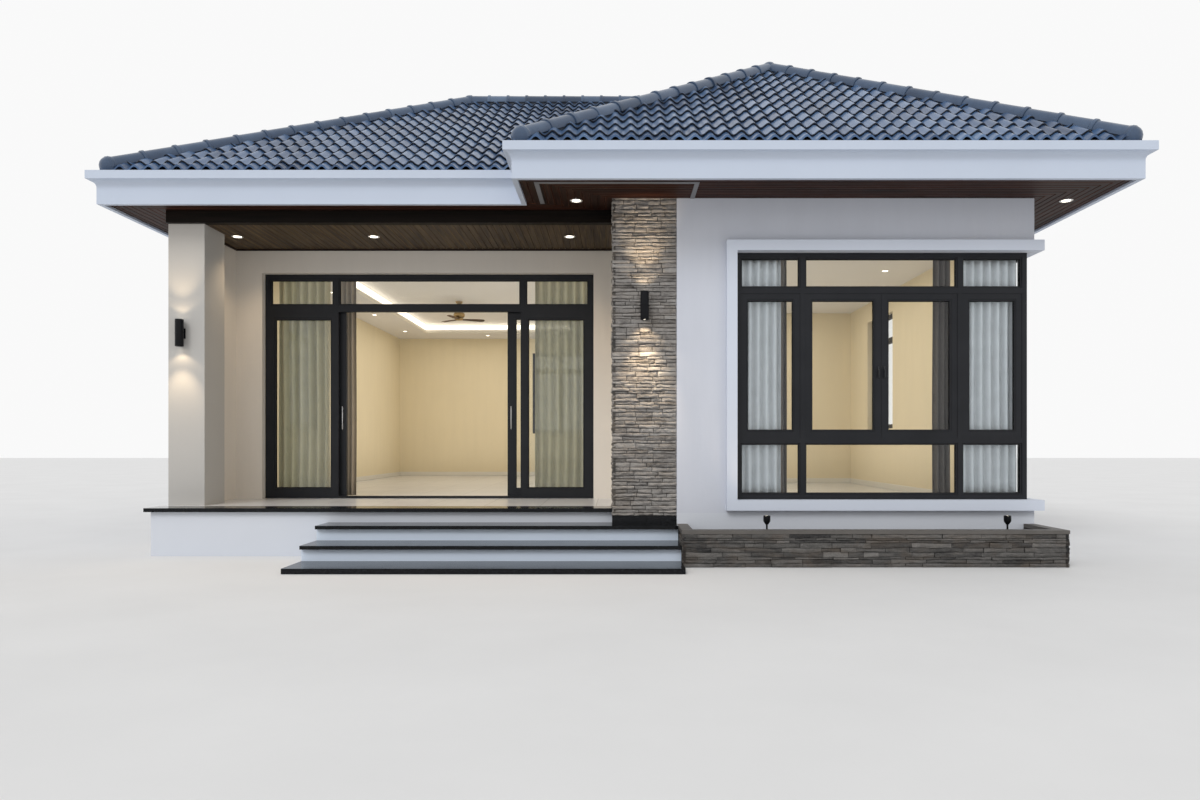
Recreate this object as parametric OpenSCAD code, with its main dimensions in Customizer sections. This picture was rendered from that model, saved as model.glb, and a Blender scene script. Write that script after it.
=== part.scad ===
// Single-storey house with a projecting front wing, a recessed porch behind a
// sliding glass door, a corner window over a stone planter, and a hipped tile roof.
// Millimetres. The origin is on the ground at the middle of the plan, +Z is up and
// -Y is the street side.

/* [Plan] */
// Width of the house across its outer walls
body_w = 9100; // [8800:50:9600]
// Width of the front wing, from the left face of the stone pillar to the right wall
wing_w = 4310; // [4200:10:4500]
// Depth of the house from the front wing's face to the back of the rear wing
house_d = 9430; // [9000:10:10000]
// Depth from the front wing's face to the back of the main part
main_d = 6020; // [5900:10:6300]
// Width of the rear wing across its outer walls
rear_w = 4900; // [4600:10:5100]
// Thickness of the outer walls
wall_t = 200; // [150:10:250]
// Setback of the porch beam behind the front wing's face
porch_setback = 430; // [350:10:500]
// Setback of the door wall behind the front wing's face
door_setback = 1630; // [1500:10:1800]

/* [Levels] */
// Height of the porch and room floors above the ground
floor_z = 500; // [470:10:560]
// Thickness of floor tiles and porch edging
finish_t = 40; // [30:5:60]
// Height of the soffit boards above the ground
soffit_z = 3670; // [3600:10:3800]
// Height of the lowered porch ceiling above the ground
porch_ceiling_z = 3540; // [3480:10:3580]
// Height of the room ceiling above the ground
ceiling_z = 3430; // [3380:10:3480]
// Height of the raised part of the ceiling above the ground
tray_z = 3600; // [3560:10:3640]

/* [Eaves] */
// Overhang of the eaves past the front, right and rear walls
eave = 690; // [600:10:760]
// Overhang of the eaves past the left wall
left_eave = 555; // [500:5:640]
// Overhang of the wing's eaves past the stone pillar
wing_left_eave = 940; // [850:10:1000]
// Step back from the wing's front eaves to the main front eaves
main_eave_setback = 820; // [750:10:900]
// Thickness of the fascia band
fascia_t = 50; // [40:5:80]
// Drop of the fascia band below the soffit boards
fascia_drop = 20; // [10:5:40]
// Height of the top of the fascia lip above the ground
lip_top_z = 3980; // [3950:10:4020]
// Height of the face of the fascia lip
lip_h = 85; // [60:5:100]
// Projection of the lip past the fascia band
lip_out = 75; // [60:5:90]
// Thickness of the soffit boards
soffit_t = 20; // [15:5:30]
// Thickness of the concrete eave slab
slab_t = 100; // [80:10:140]

/* [Roof] */
// Pitch of the wing's slopes and of the right slope, in degrees
wing_pitch = 34; // [32:0.5:35]
// Pitch of the main slopes, in degrees
main_pitch = 32; // [30:0.5:33]
// Upright thickness of the roof deck
roof_t = 120; // [90:10:150]
// Height of the deck's upright edge at the eaves
deck_edge = 20; // [10:5:40]
// Length of each course of tiles up the slope
course_l = 290; // [250:5:330]
// Length of the first course, from the eave
first_course = 170; // [100:5:240]
// Drop from each course's nose to the course below it
course_h = 28; // [15:1:35]
// Radius of the half-round ridge and hip caps
cap_r = 94; // [80:1:110]
// Rise of the collar at the lower end of each cap
collar = 10; // [6:1:16]
// Length of the collars
collar_l = 38; // [25:1:50]
// Length of each hip cap
hip_cap_l = 345; // [300:5:400]
// Length of each ridge cap
ridge_cap_l = 262; // [230:2:320]
// Height of a cap's axis over the deck line
cap_lift = 15; // [0:5:30]

/* [Corner window] */
// Width of the corner window opening on the front
corner_w = 3040; // [2900:10:3100]
// Width of the corner window opening on the right side
corner_d = 1150; // [1000:10:1400]
// Height of the corner window's sill above the ground
sill_z = 595; // [570:5:640]
// Height of the window heads above the ground
head_z = 3126; // [3050:2:3200]
// Inset of the window frame behind the wall face
frame_inset = 50; // [40:5:60]
// Depth of the window frames
frame_d = 70; // [60:5:80]
// Width of frame members
member_w = 50; // [40:5:60]
// Width of the raised surround
surround_w = 107; // [90:1:120]
// Projection of the raised surround
surround_out = 70; // [50:5:90]
// Underside of the upper transom above the ground
transom_z = 2709; // [2650:1:2760]
// Underside of the lower transom above the ground
low_transom_z = 1172; // [1100:1:1250]
// Height of the transoms
transom_h = 60; // [50:5:70]
// Width of the narrow side casements, frame to mullion
narrow_w = 612; // [560:1:660]
// Width of sash stiles and rails
stile_w = 62; // [50:1:70]
// Thickness of window glass
glass_t = 24; // [16:1:28]

/* [Plain windows] */
// Width of the plain side and rear windows
plain_w = 1200; // [1000:50:1400]
// Height of the plain windows' sills above the ground
plain_sill_z = 1400; // [1300:50:1600]

/* [Door] */
// Distance from the left wall's inner face to the door opening
door_from_left = 318; // [300:2:360]
// Distance from the door opening to the stone pillar's side
door_from_right = 232; // [200:2:260]
// Height of the door opening's head above the ground
door_head_z = 3250; // [3200:10:3300]
// Depth of the reveal in front of the door unit
door_reveal = 90; // [60:5:110]
// Depth of the door unit's frame
unit_d = 60; // [50:5:80]
// Width of the door's outer frame
jamb_w = 62; // [55:1:75]
// Height of the head of the sliding doors above the ground
leaf_head_z = 2792; // [2740:1:2820]
// Height of the transom bar
door_transom_h = 81; // [70:1:90]
// Clearance between the open left leaf and the wall beside it
leaf_park = 123; // [100:1:150]
// Width of the fixed panels' inner stiles and top rails
panel_stile = 85; // [70:1:95]
// Width of the fixed panels' outer stiles
outer_stile = 50; // [40:1:60]
// Height of the fixed panels' bottom rails
bottom_rail = 115; // [90:5:130]
// Height of the threshold across the opening
threshold_h = 25; // [15:1:35]
// Lap of each sliding leaf past the middle of the door, once open
leaf_spare = 50; // [40:1:70]
// Thickness of each sliding leaf
leaf_t = 50; // [40:5:60]
// Width of the leaves' stiles and rails
leaf_stile = 92; // [80:1:100]
// Clearance round the sliding leaves
slide_gap = 8; // [6:1:12]
// Height of the floor rail that carries the leaves
rail_h = 12; // [8:1:16]
// How far the right leaf stands closed of its open stop
right_leaf_in = 94; // [0:1:300]
// How far an open leaf's edge stands out past the fixed panel
leaf_stand = 75; // [60:1:90]

/* [Porch and steps] */
// Width of the left column
column_w = 390; // [350:10:420]
// Depth of the left column
column_d = 450; // [400:10:500]
// Setback of the left column's face behind the wing's face
column_setback = 480; // [440:10:520]
// Width of the stone pillar
pillar_w = 660; // [620:10:700]
// Depth of the stone pillar
pillar_d = 450; // [400:10:500]
// Height of the granite plinth under the pillar
plinth_h = 80; // [60:5:100]
// Width of the steps
steps_w = 3610; // [3400:10:3700]
// Run from the bottom step's front to the wing's face
steps_run = 1060; // [1000:10:1150]
// Depth of the bottom step in front of the lower tread
bottom_run = 430; // [380:10:450]
// Depth of the lower tread in front of the upper tread
tread_run = 400; // [350:10:420]
// Thickness of the bottom step
bottom_t = 50; // [40:5:60]
// Thickness of the granite treads
tread_t = 35; // [25:5:45]
// Overhang of the treads past the risers
nosing = 50; // [30:5:60]
// Setback of the porch edge behind the wing's face
edge_setback = 95; // [80:5:120]
// Depth of the granite edge band on the porch
edge_d = 300; // [250:10:330]

/* [Planter] */
// Height of the planter with its coping
planter_h = 350; // [300:10:380]
// Depth of the planter in front of the wing
planter_d = 660; // [600:10:700]
// Thickness of the planter's walls
planter_wall = 110; // [90:10:130]
// Thickness of the planter's coping
coping_t = 35; // [25:5:45]

/* [Fan] */
// Radius of the ceiling fan's rotor
fan_r = 520; // [450:10:600]
// Height of the fan blades above the ground
fan_z = 3300; // [3260:10:3320]
// Pitch of the fan blades, in degrees
blade_pitch = 9; // [6:0.5:12]
// Distance from the left wall's inner face to the fan
fan_from_left = 1960; // [1800:10:2100]
// Distance from the door wall's face to the fan
fan_from_door = 4000; // [3600:10:4200]

/* [Hidden] */
$fn = 48;
// How far a cut reaches past the faces that it passes through
cut = 1;

// Overall plan, with the origin at its middle
total_w = left_eave + body_w + eave + 2 * lip_out;
total_d = steps_run + house_d + eave + lip_out;

// Plan lines across the house
x_left = -total_w / 2 + lip_out + left_eave;
x_left_in = x_left + wall_t;
x_right = x_left + body_w;
x_right_in = x_right - wall_t;
x_wing = x_right - wing_w;
x_pillar = x_wing + pillar_w;
x_wing_in = x_wing + wall_t;

// Plan lines from the street to the back
y_front = -total_d / 2;
y_wing = y_front + steps_run;
y_wing_in = y_wing + wall_t;
y_beam = y_wing + porch_setback;
y_column = y_wing + column_setback;
y_door = y_wing + door_setback;
door_wall_t = door_reveal + unit_d;
y_door_in = y_door + door_wall_t;
y_unit = y_door + door_reveal;
y_main_back = y_wing + main_d;
y_back = y_wing + house_d;

// Eave lines, on the outer face of the fascia band
ex_left = x_left - left_eave;
ex_right = x_right + eave;
ex_wing = x_wing - wing_left_eave;
ey_wing = y_wing - eave;
ey_main = ey_wing + main_eave_setback;
ey_main_back = y_main_back + eave;
ey_back = y_back + eave;
main_run = (ey_main_back - ey_main) / 2;
x_rear = x_left + rear_w;
ex_rear = x_rear + eave;
rear_run = (ex_rear - ex_left) / 2;

EAVE = [[ex_wing, ey_wing], [ex_right, ey_wing], [ex_right, ey_main_back],
    [ex_rear, ey_main_back], [ex_rear, ey_back], [ex_left, ey_back],
    [ex_left, ey_main], [ex_wing, ey_main]];
WALLS = [[x_wing, y_wing], [x_right, y_wing], [x_right, y_main_back],
    [x_rear, y_main_back], [x_rear, y_back], [x_left, y_back],
    [x_left, y_beam], [x_wing, y_beam]];
ROOMS = [[x_pillar, y_wing_in], [x_right_in, y_wing_in],
    [x_right_in, y_main_back - wall_t], [x_rear - wall_t, y_main_back - wall_t],
    [x_rear - wall_t, y_back - wall_t], [x_left_in, y_back - wall_t],
    [x_left_in, y_door_in], [x_wing_in, y_door_in], [x_wing_in, y_wing + pillar_d],
    [x_pillar, y_wing + pillar_d]];

wall_z = floor_z - finish_t;
wall_top = soffit_z + soffit_t;
slab_top = wall_top + slab_t;
riser_count = 3;
riser = (floor_z - bottom_t) / riser_count;
upper_z = floor_z - riser;
lower_z = upper_z - riser;
planter_bed_z = planter_h / 3;

// Roof heights over the top of the fascia
wing_run = (ex_right - ex_wing) / 2;
wing_rise = wing_run * tan(wing_pitch) + deck_edge;
main_rise = main_run * tan(main_pitch) + deck_edge;
rear_rise = rear_run * tan(main_pitch) + deck_edge;
x_apex = ex_right - wing_run;
y_apex = ey_wing + wing_run;
y_wing_end = ey_main + (wing_rise - deck_edge) / tan(main_pitch);
y_ridge = ey_main + main_run;
x_ridge = ex_left + main_run;
x_ridge_end = ex_right - (main_rise - deck_edge) / tan(wing_pitch);
x_rear_ridge = ex_left + rear_run;
y_rear_start = ey_main_back - rear_run;
y_rear_end = ey_back - rear_run;

// Door unit
xd_left = x_left_in + door_from_left;
xd_right = x_wing - door_from_right;
xd_mid = (xd_left + xd_right) / 2;
door_half = (xd_mid - x_left_in - leaf_park + leaf_stand - leaf_spare) / 2;
leaf_w = door_half + leaf_spare;
leaf_y = y_door_in + slide_gap;
run_gap = 0.3;
leaf_bottom = floor_z + rail_h + run_gap;
leaf_lap = 25;
leaf_top = leaf_head_z + leaf_lap;
open_half = door_half - leaf_stand;
left_leaf_x = xd_mid - open_half - leaf_w;
right_leaf_x = xd_mid + open_half - right_leaf_in;
track_half = open_half + leaf_w + slide_gap;
track_h = 45;
rail_w = 20;

// Corner window
cx_left = x_right - corner_w;
cx_front = x_right - frame_inset;
cy_front = y_wing + frame_inset;
cy_back = y_wing + corner_d;
mullion_1 = cx_left + member_w + narrow_w;
mullion_2 = cx_front - member_w - narrow_w - member_w;
meeting_x = (mullion_1 + member_w + mullion_2) / 2;

// Fan
fan_x = x_left_in + fan_from_left;
fan_y = y_door + fan_from_door;
fan_motor_r = 95;
fan_motor_h = 90;
fan_rod_r = 16;
fan_gap = 6;
canopy_h = 45;
canopy_r = 65;
canopy_low_r = 35;
hub_r = 70;
hub_h = 36;
motor_z = fan_z + hub_h / 2 + fan_gap;
blade_w = 130;
blade_root_w = 76;
blade_wide = 320;
blade_t = 10;
blade_root = 20;
blade_count = 3;
first_blade = 20;

module block(lo, hi) {
    translate(lo)
        cube(hi - lo);
}

module plate(outline, z_low, z_high) {
    translate([0, 0, z_low])
        linear_extrude(z_high - z_low)
            polygon(outline);
}

// A rectangular ring with a pane-sized hole, standing in the XZ plane
module ring_xz(x0, x1, z0, z1, y0, depth, side, rail) {
    difference() {
        block([x0, y0, z0], [x1, y0 + depth, z1]);
        block([x0 + side, y0 - cut, z0 + rail], [x1 - side, y0 + depth + cut, z1 - rail]);
    }
}

// The same ring standing in the YZ plane
module ring_yz(y0, y1, z0, z1, x0, depth, side, rail) {
    difference() {
        block([x0, y0, z0], [x0 + depth, y1, z1]);
        block([x0 - cut, y0 + side, z0 + rail], [x0 + depth + cut, y1 - side, z1 - rail]);
    }
}

module foundation() {
    color("gainsboro")
        difference() {
            union() {
                plate(WALLS, 0, wall_z);
                block([x_left, y_wing + edge_setback + nosing, 0], [x_wing, y_beam, wall_z]);
            }
            block([x_wing - cut, y_wing - cut, upper_z],
                [x_pillar, y_wing + pillar_d, wall_z + cut]);
        }
}

module step_core() {
    color("white")
        difference() {
            union() {
                block([x_pillar - steps_w, y_front + bottom_run + nosing, bottom_t],
                    [x_pillar, y_wing + edge_setback + nosing, lower_z - tread_t]);
                block([x_pillar - steps_w, y_front + bottom_run + tread_run + nosing, bottom_t],
                    [x_pillar, y_wing + edge_setback + nosing, upper_z - tread_t]);
            }
            plate(WALLS, -cut, wall_z);
        }
}

module bottom_step() {
    color("dimgray")
        difference() {
            block([x_pillar - steps_w, y_front, 0],
                [x_pillar, y_wing + edge_setback + nosing, bottom_t]);
            plate(WALLS, -cut, wall_z);
        }
}

module lower_tread() {
    color("dimgray")
        block([x_pillar - steps_w, y_front + bottom_run, lower_z - tread_t],
            [x_pillar, y_front + bottom_run + tread_run + nosing, lower_z]);
}

module upper_tread() {
    color("dimgray")
        difference() {
            block([x_pillar - steps_w, y_front + bottom_run + tread_run, upper_z - tread_t],
                [x_pillar, y_wing + edge_setback + nosing, upper_z]);
            plate(WALLS, 0, wall_z);
        }
}

module porch_edge() {
    color("black")
        block([x_left - nosing, y_wing + edge_setback, wall_z],
            [x_wing, y_wing + edge_setback + edge_d, floor_z]);
}

module porch_floor() {
    color("lightgray")
        difference() {
            block([x_left, y_wing + edge_setback + edge_d, wall_z], [x_wing, y_door, floor_z]);
            block([x_left - cut, y_column, wall_z - cut],
                [x_left + column_w, y_column + column_d, floor_z + cut]);
            block([x_left - cut, y_column, wall_z - cut], [x_left_in, y_door + cut, floor_z + cut]);
        }
}

module room_floor() {
    color("wheat")
        plate(ROOMS, wall_z, floor_z);
}

module planter() {
    color("dimgray")
        difference() {
            block([x_pillar, y_wing - planter_d, 0], [x_right, y_wing, planter_h - coping_t]);
            block([x_pillar + planter_wall, y_wing - planter_d + planter_wall, planter_bed_z],
                [x_right - planter_wall, y_wing + cut, planter_h]);
        }
}

module planter_coping() {
    color("silver")
        difference() {
            block([x_pillar, y_wing - planter_d, planter_h - coping_t], [x_right, y_wing, planter_h]);
            block([x_pillar + planter_wall, y_wing - planter_d + planter_wall, 0],
                [x_right - planter_wall, y_wing + cut, planter_h + cut]);
        }
}

// Centres of the plain windows, each set out from the corner or wall nearest to it
left_window_in = 2240;
right_window_in = 1730;
rear_window_in = 1250;
back_window_in = 1500;
rear_side_window_in = 1500;
left_windows = [y_door + left_window_in];
right_windows = [y_main_back - right_window_in];
rear_windows = [x_rear - rear_window_in];
back_windows = [x_rear + back_window_in];
rear_side_windows = [y_back - rear_side_window_in];

module plain_hole_y(y, x) {
    block([x - cut, y - plain_w / 2, plain_sill_z], [x + wall_t + cut, y + plain_w / 2, head_z]);
}

module plain_hole_x(x, y) {
    block([x - plain_w / 2, y - cut, plain_sill_z], [x + plain_w / 2, y + wall_t + cut, head_z]);
}

module left_wall() {
    color("whitesmoke")
        difference() {
            block([x_left, y_column + column_d, wall_z], [x_left_in, y_back, wall_top]);
            for (y = left_windows)
                plain_hole_y(y, x_left);
        }
}

module rear_wall() {
    color("whitesmoke")
        difference() {
            block([x_left_in, y_back - wall_t, wall_z], [x_rear, y_back, wall_top]);
            for (x = rear_windows)
                plain_hole_x(x, y_back - wall_t);
        }
}

module rear_side_wall() {
    color("whitesmoke")
        difference() {
            block([x_rear - wall_t, y_main_back - wall_t, wall_z],
                [x_rear, y_back - wall_t, wall_top]);
            for (y = rear_side_windows)
                plain_hole_y(y, x_rear - wall_t);
        }
}

module back_wall() {
    color("whitesmoke")
        difference() {
            block([x_rear, y_main_back - wall_t, wall_z], [x_right_in, y_main_back, wall_top]);
            for (x = back_windows)
                plain_hole_x(x, y_main_back - wall_t);
        }
}

module corner_hole() {
    block([cx_left, y_wing - cut, sill_z], [x_right + cut, y_wing_in + cut, head_z]);
    block([x_right_in - cut, y_wing - cut, sill_z], [x_right + cut, cy_back, head_z]);
}

module right_wall() {
    color("whitesmoke")
        difference() {
            block([x_right_in, y_wing_in, wall_z], [x_right, y_main_back, wall_top]);
            corner_hole();
            for (y = right_windows)
                plain_hole_y(y, x_right_in);
        }
}

module wing_front_wall() {
    color("whitesmoke")
        difference() {
            block([x_pillar, y_wing, wall_z], [x_right, y_wing_in, wall_top]);
            corner_hole();
        }
}

module wing_side_wall() {
    color("whitesmoke")
        block([x_wing, y_wing + pillar_d, wall_z], [x_wing_in, y_door_in, wall_top]);
}

module porch_wall_left() {
    color("cornsilk")
        block([x_left_in, y_door, wall_z], [xd_left, y_door_in, door_head_z]);
}

module porch_wall_right() {
    color("cornsilk")
        block([xd_right, y_door, wall_z], [x_wing, y_door_in, door_head_z]);
}

module porch_wall_over() {
    color("cornsilk")
        block([x_left_in, y_door, door_head_z], [x_wing, y_door_in, wall_top]);
}

module left_column() {
    color("whitesmoke")
        block([x_left, y_column, wall_z],
            [x_left + column_w, y_column + column_d, porch_ceiling_z]);
}

module stone_pillar() {
    color("tan")
        block([x_wing, y_wing, upper_z + plinth_h], [x_pillar, y_wing + pillar_d, wall_top]);
}

module pillar_plinth() {
    color("black")
        block([x_wing, y_wing, upper_z], [x_pillar, y_wing + pillar_d, upper_z + plinth_h]);
}

module window_surround() {
    color("white")
        difference() {
            block([cx_left - surround_w, y_wing - surround_out, sill_z - surround_w],
                [x_right + surround_out, cy_back + surround_w, head_z + surround_w]);
            block([cx_left, y_wing - surround_out - cut, sill_z],
                [x_right + surround_out + cut, cy_back, head_z]);
            block([cx_left - surround_w - cut, y_wing, sill_z - surround_w - cut],
                [x_right, cy_back + surround_w + cut, head_z + surround_w + cut]);
        }
}

// Holes of one storey-high window face, cut between its posts
module light_holes(spans, lo_y, hi_y) {
    for (s = spans) {
        block([s[0], lo_y, transom_z + transom_h], [s[1], hi_y, head_z - member_w]);
        block([s[0], lo_y, low_transom_z + transom_h], [s[1], hi_y, transom_z]);
        block([s[0], lo_y, sill_z + member_w], [s[1], hi_y, low_transom_z]);
    }
}

front_spans = [[cx_left + member_w, mullion_1],
    [mullion_1 + member_w, mullion_2],
    [mullion_2 + member_w, cx_front - member_w]];
side_span = [cy_front + member_w, cy_back - member_w];

module corner_window_frame() {
    color("black")
        difference() {
            union() {
                block([cx_left, cy_front, sill_z], [cx_front, cy_front + frame_d, head_z]);
                block([cx_front - frame_d, cy_front, sill_z], [cx_front, cy_back, head_z]);
            }
            light_holes(front_spans, cy_front - cut, cy_front + frame_d + cut);
            for (z = [[transom_z + transom_h, head_z - member_w],
                    [low_transom_z + transom_h, transom_z],
                    [sill_z + member_w, low_transom_z]])
                block([cx_front - frame_d - cut, side_span[0] + frame_d - member_w, z[0]],
                    [cx_front + cut, side_span[1], z[1]]);
        }
}

sash_gap = 3;
sash_spans = [front_spans[0], [front_spans[1][0], meeting_x - sash_gap / 2],
    [meeting_x + sash_gap / 2, front_spans[1][1]], front_spans[2]];
sash_z = [low_transom_z + transom_h, transom_z];
sash_inset = 5;
sash_t = frame_d - 2 * sash_inset;

module corner_window_sashes() {
    color("black") {
        for (s = sash_spans)
            ring_xz(s[0], s[1], sash_z[0], sash_z[1], cy_front + sash_inset, sash_t,
                stile_w, stile_w);
        ring_yz(side_span[0] + frame_d - member_w, side_span[1], sash_z[0], sash_z[1],
            cx_front - frame_d + sash_inset, sash_t, stile_w, stile_w);
    }
}

glass_y = cy_front + (frame_d - glass_t) / 2;
glass_x = cx_front - (frame_d + glass_t) / 2;

module corner_window_glass() {
    color("lightblue") {
        for (s = front_spans)
            for (z = [[transom_z + transom_h, head_z - member_w],
                    [sill_z + member_w, low_transom_z]])
                block([s[0], glass_y, z[0]], [s[1], glass_y + glass_t, z[1]]);
        for (s = sash_spans)
            block([s[0] + stile_w, glass_y, sash_z[0] + stile_w],
                [s[1] - stile_w, glass_y + glass_t, sash_z[1] - stile_w]);
        for (z = [[transom_z + transom_h, head_z - member_w],
                [sill_z + member_w, low_transom_z]])
            block([glass_x, side_span[0] + frame_d - member_w, z[0]],
                [glass_x + glass_t, side_span[1], z[1]]);
        block([glass_x, side_span[0] + frame_d - member_w + stile_w, sash_z[0] + stile_w],
            [glass_x + glass_t, side_span[1] - stile_w, sash_z[1] - stile_w]);
    }
}

handle_z = 1900;
handle_out = 35;
handle_w = 18;
handle_h = 120;

module window_handles() {
    color("silver")
        for (x = [meeting_x - stile_w / 2, meeting_x + stile_w / 2])
            block([x - handle_w / 2, cy_front + sash_inset - handle_out, handle_z - handle_h / 2],
                [x + handle_w / 2, cy_front + sash_inset, handle_z + handle_h / 2]);
}

module plain_frame() {
    difference() {
        block([-plain_w / 2, 0, plain_sill_z], [plain_w / 2, frame_d, head_z]);
        for (s = [-1, 1])
            for (z = [[plain_sill_z + member_w, transom_z],
                    [transom_z + transom_h, head_z - member_w]])
                block([s > 0 ? member_w / 2 : -plain_w / 2 + member_w, -cut, z[0]],
                    [s > 0 ? plain_w / 2 - member_w : -member_w / 2, frame_d + cut, z[1]]);
    }
}

module plain_panes() {
    for (s = [-1, 1])
        for (z = [[plain_sill_z + member_w, transom_z],
                [transom_z + transom_h, head_z - member_w]])
            block([s > 0 ? member_w / 2 : -plain_w / 2 + member_w,
                    (frame_d - glass_t) / 2, z[0]],
                [s > 0 ? plain_w / 2 - member_w : -member_w / 2,
                    (frame_d + glass_t) / 2, z[1]]);
}

// Sets its children at each plain window, facing outwards
module at_plain_windows() {
    for (y = left_windows)
        translate([x_left + frame_inset, y, 0])
            rotate([0, 0, -90])
                children();
    for (y = right_windows)
        translate([x_right - frame_inset, y, 0])
            rotate([0, 0, 90])
                children();
    for (y = rear_side_windows)
        translate([x_rear - frame_inset, y, 0])
            rotate([0, 0, 90])
                children();
    for (x = rear_windows)
        translate([x, y_back - frame_inset, 0])
            rotate([0, 0, 180])
                children();
    for (x = back_windows)
        translate([x, y_main_back - frame_inset, 0])
            rotate([0, 0, 180])
                children();
}

module side_window_frames() {
    color("black")
        at_plain_windows()
            plain_frame();
}

module side_window_glass() {
    color("lightblue")
        at_plain_windows()
            plain_panes();
}

fixed_edges = [xd_mid - door_half, xd_mid + door_half];

top_spans = [[xd_left + jamb_w, fixed_edges[0] - jamb_w],
    [fixed_edges[0], fixed_edges[1]],
    [fixed_edges[1] + jamb_w, xd_right - jamb_w]];
top_light_z = [leaf_head_z + door_transom_h, door_head_z - jamb_w];

module door_frame() {
    color("black")
        difference() {
            block([xd_left, y_unit, floor_z], [xd_right, y_door_in, door_head_z]);
            block([fixed_edges[0], y_unit - cut, floor_z + threshold_h],
                [fixed_edges[1], y_door_in + cut, leaf_head_z]);
            for (s = [[xd_left + jamb_w, fixed_edges[0]],
                    [fixed_edges[1], xd_right - jamb_w]])
                block([s[0], y_unit - cut, floor_z - cut], [s[1], y_door_in + cut, leaf_head_z]);
            for (s = top_spans)
                block([s[0], y_unit - cut, top_light_z[0]], [s[1], y_door_in + cut, top_light_z[1]]);
        }
}

panel_holes = [[xd_left + jamb_w + outer_stile, fixed_edges[0] - panel_stile],
    [fixed_edges[1] + panel_stile, xd_right - jamb_w - outer_stile]];
panel_z = [floor_z + bottom_rail, leaf_head_z - panel_stile];

module door_side_panels() {
    color("black")
        difference() {
            for (s = [[xd_left + jamb_w, fixed_edges[0]],
                    [fixed_edges[1], xd_right - jamb_w]])
                block([s[0], y_unit, floor_z], [s[1], y_door_in, leaf_head_z]);
            for (s = panel_holes)
                block([s[0], y_unit - cut, panel_z[0]], [s[1], y_door_in + cut, panel_z[1]]);
        }
}

door_glass_y = y_unit + (unit_d - glass_t) / 2;

module door_glass() {
    color("lightblue") {
        for (s = panel_holes)
            block([s[0], door_glass_y, panel_z[0]], [s[1], door_glass_y + glass_t, panel_z[1]]);
        for (s = top_spans)
            block([s[0], door_glass_y, top_light_z[0]],
                [s[1], door_glass_y + glass_t, top_light_z[1]]);
    }
}

// Head track on the room side of the door wall, and the floor rail under the leaves
module door_track() {
    color("black") {
        block([xd_mid - track_half, y_door_in, leaf_top + slide_gap],
            [xd_mid + track_half, y_door_in + leaf_t + 2 * slide_gap,
                leaf_top + slide_gap + track_h]);
        block([xd_mid - track_half, leaf_y + (leaf_t - rail_w) / 2, floor_z],
            [xd_mid + track_half, leaf_y + (leaf_t + rail_w) / 2, floor_z + rail_h]);
    }
}

module door_leaf(x) {
    ring_xz(x, x + leaf_w, leaf_bottom, leaf_top, leaf_y, leaf_t, leaf_stile, leaf_stile);
}

module leaf_glass(x) {
    block([x + leaf_stile, leaf_y + (leaf_t - glass_t) / 2, leaf_bottom + leaf_stile],
        [x + leaf_w - leaf_stile, leaf_y + (leaf_t + glass_t) / 2, leaf_top - leaf_stile]);
}

pull_w = 16;
pull_h = 290;
pull_z = 1490;
pull_t = 20;

module pull_handle(x) {
    block([x - pull_w / 2, leaf_y - pull_t, pull_z - pull_h / 2],
        [x + pull_w / 2, leaf_y, pull_z + pull_h / 2]);
}

module door_leaf_left() {
    color("black")
        door_leaf(left_leaf_x);
}

module door_leaf_right() {
    color("black")
        door_leaf(right_leaf_x);
}

module leaf_glass_left() {
    color("lightblue")
        leaf_glass(left_leaf_x);
}

module leaf_glass_right() {
    color("lightblue")
        leaf_glass(right_leaf_x);
}

module handle_left() {
    color("silver")
        pull_handle(left_leaf_x + leaf_w - leaf_stile / 2);
}

module handle_right() {
    color("silver")
        pull_handle(right_leaf_x + leaf_stile / 2);
}

beam_t = 100;

module porch_beam() {
    color("saddlebrown")
        union() {
            block([x_left, y_beam, porch_ceiling_z], [x_wing, y_beam + beam_t, wall_top]);
            block([x_left, y_beam, porch_ceiling_z],
                [x_left + beam_t, y_column + column_d, wall_top]);
        }
}

module porch_ceiling() {
    color("sienna")
        difference() {
            block([x_left + beam_t, y_beam + beam_t, porch_ceiling_z],
                [x_wing, y_door, porch_ceiling_z + soffit_t]);
            block([x_left - cut, y_column + column_d, 0], [x_left_in, y_door + cut, wall_top]);
            downlight_holes(porch_lights, porch_ceiling_z);
        }
}

module eave_soffit() {
    color("saddlebrown")
        difference() {
            plate(inset_eave(fascia_t), soffit_z, wall_top);
            plate(WALLS, soffit_z - cut, wall_top + cut);
            downlight_holes(soffit_lights, soffit_z);
        }
}

// Flat metal strips on the soffit, round the corner over the steps
trim_w = 45;
trim_t = 4;
trim_left_out = 725;
trim_right_in = 158;
trim_front_out = 502;

module soffit_trim() {
    x0 = x_wing - trim_left_out;
    x1 = x_pillar + trim_right_in;
    y = y_wing - trim_front_out;
    color("gray")
        union() {
            block([x0 - trim_w / 2, y - trim_w / 2, soffit_z - trim_t],
                [x1 + trim_w / 2, y + trim_w / 2, soffit_z]);
            block([x0 - trim_w / 2, y, soffit_z - trim_t],
                [x0 + trim_w / 2, ey_main + fascia_t, soffit_z]);
            block([x1 - trim_w / 2, y, soffit_z - trim_t], [x1 + trim_w / 2, y_wing, soffit_z]);
        }
}

function inset_eave(d) = [[ex_wing + d, ey_wing + d], [ex_right - d, ey_wing + d],
    [ex_right - d, ey_main_back - d], [ex_rear - d, ey_main_back - d],
    [ex_rear - d, ey_back - d], [ex_left + d, ey_back - d],
    [ex_left + d, ey_main + d], [ex_wing + d, ey_main + d]];

module eave_slab() {
    color("lightgray")
        plate(inset_eave(fascia_t), wall_top, slab_top);
}

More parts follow.
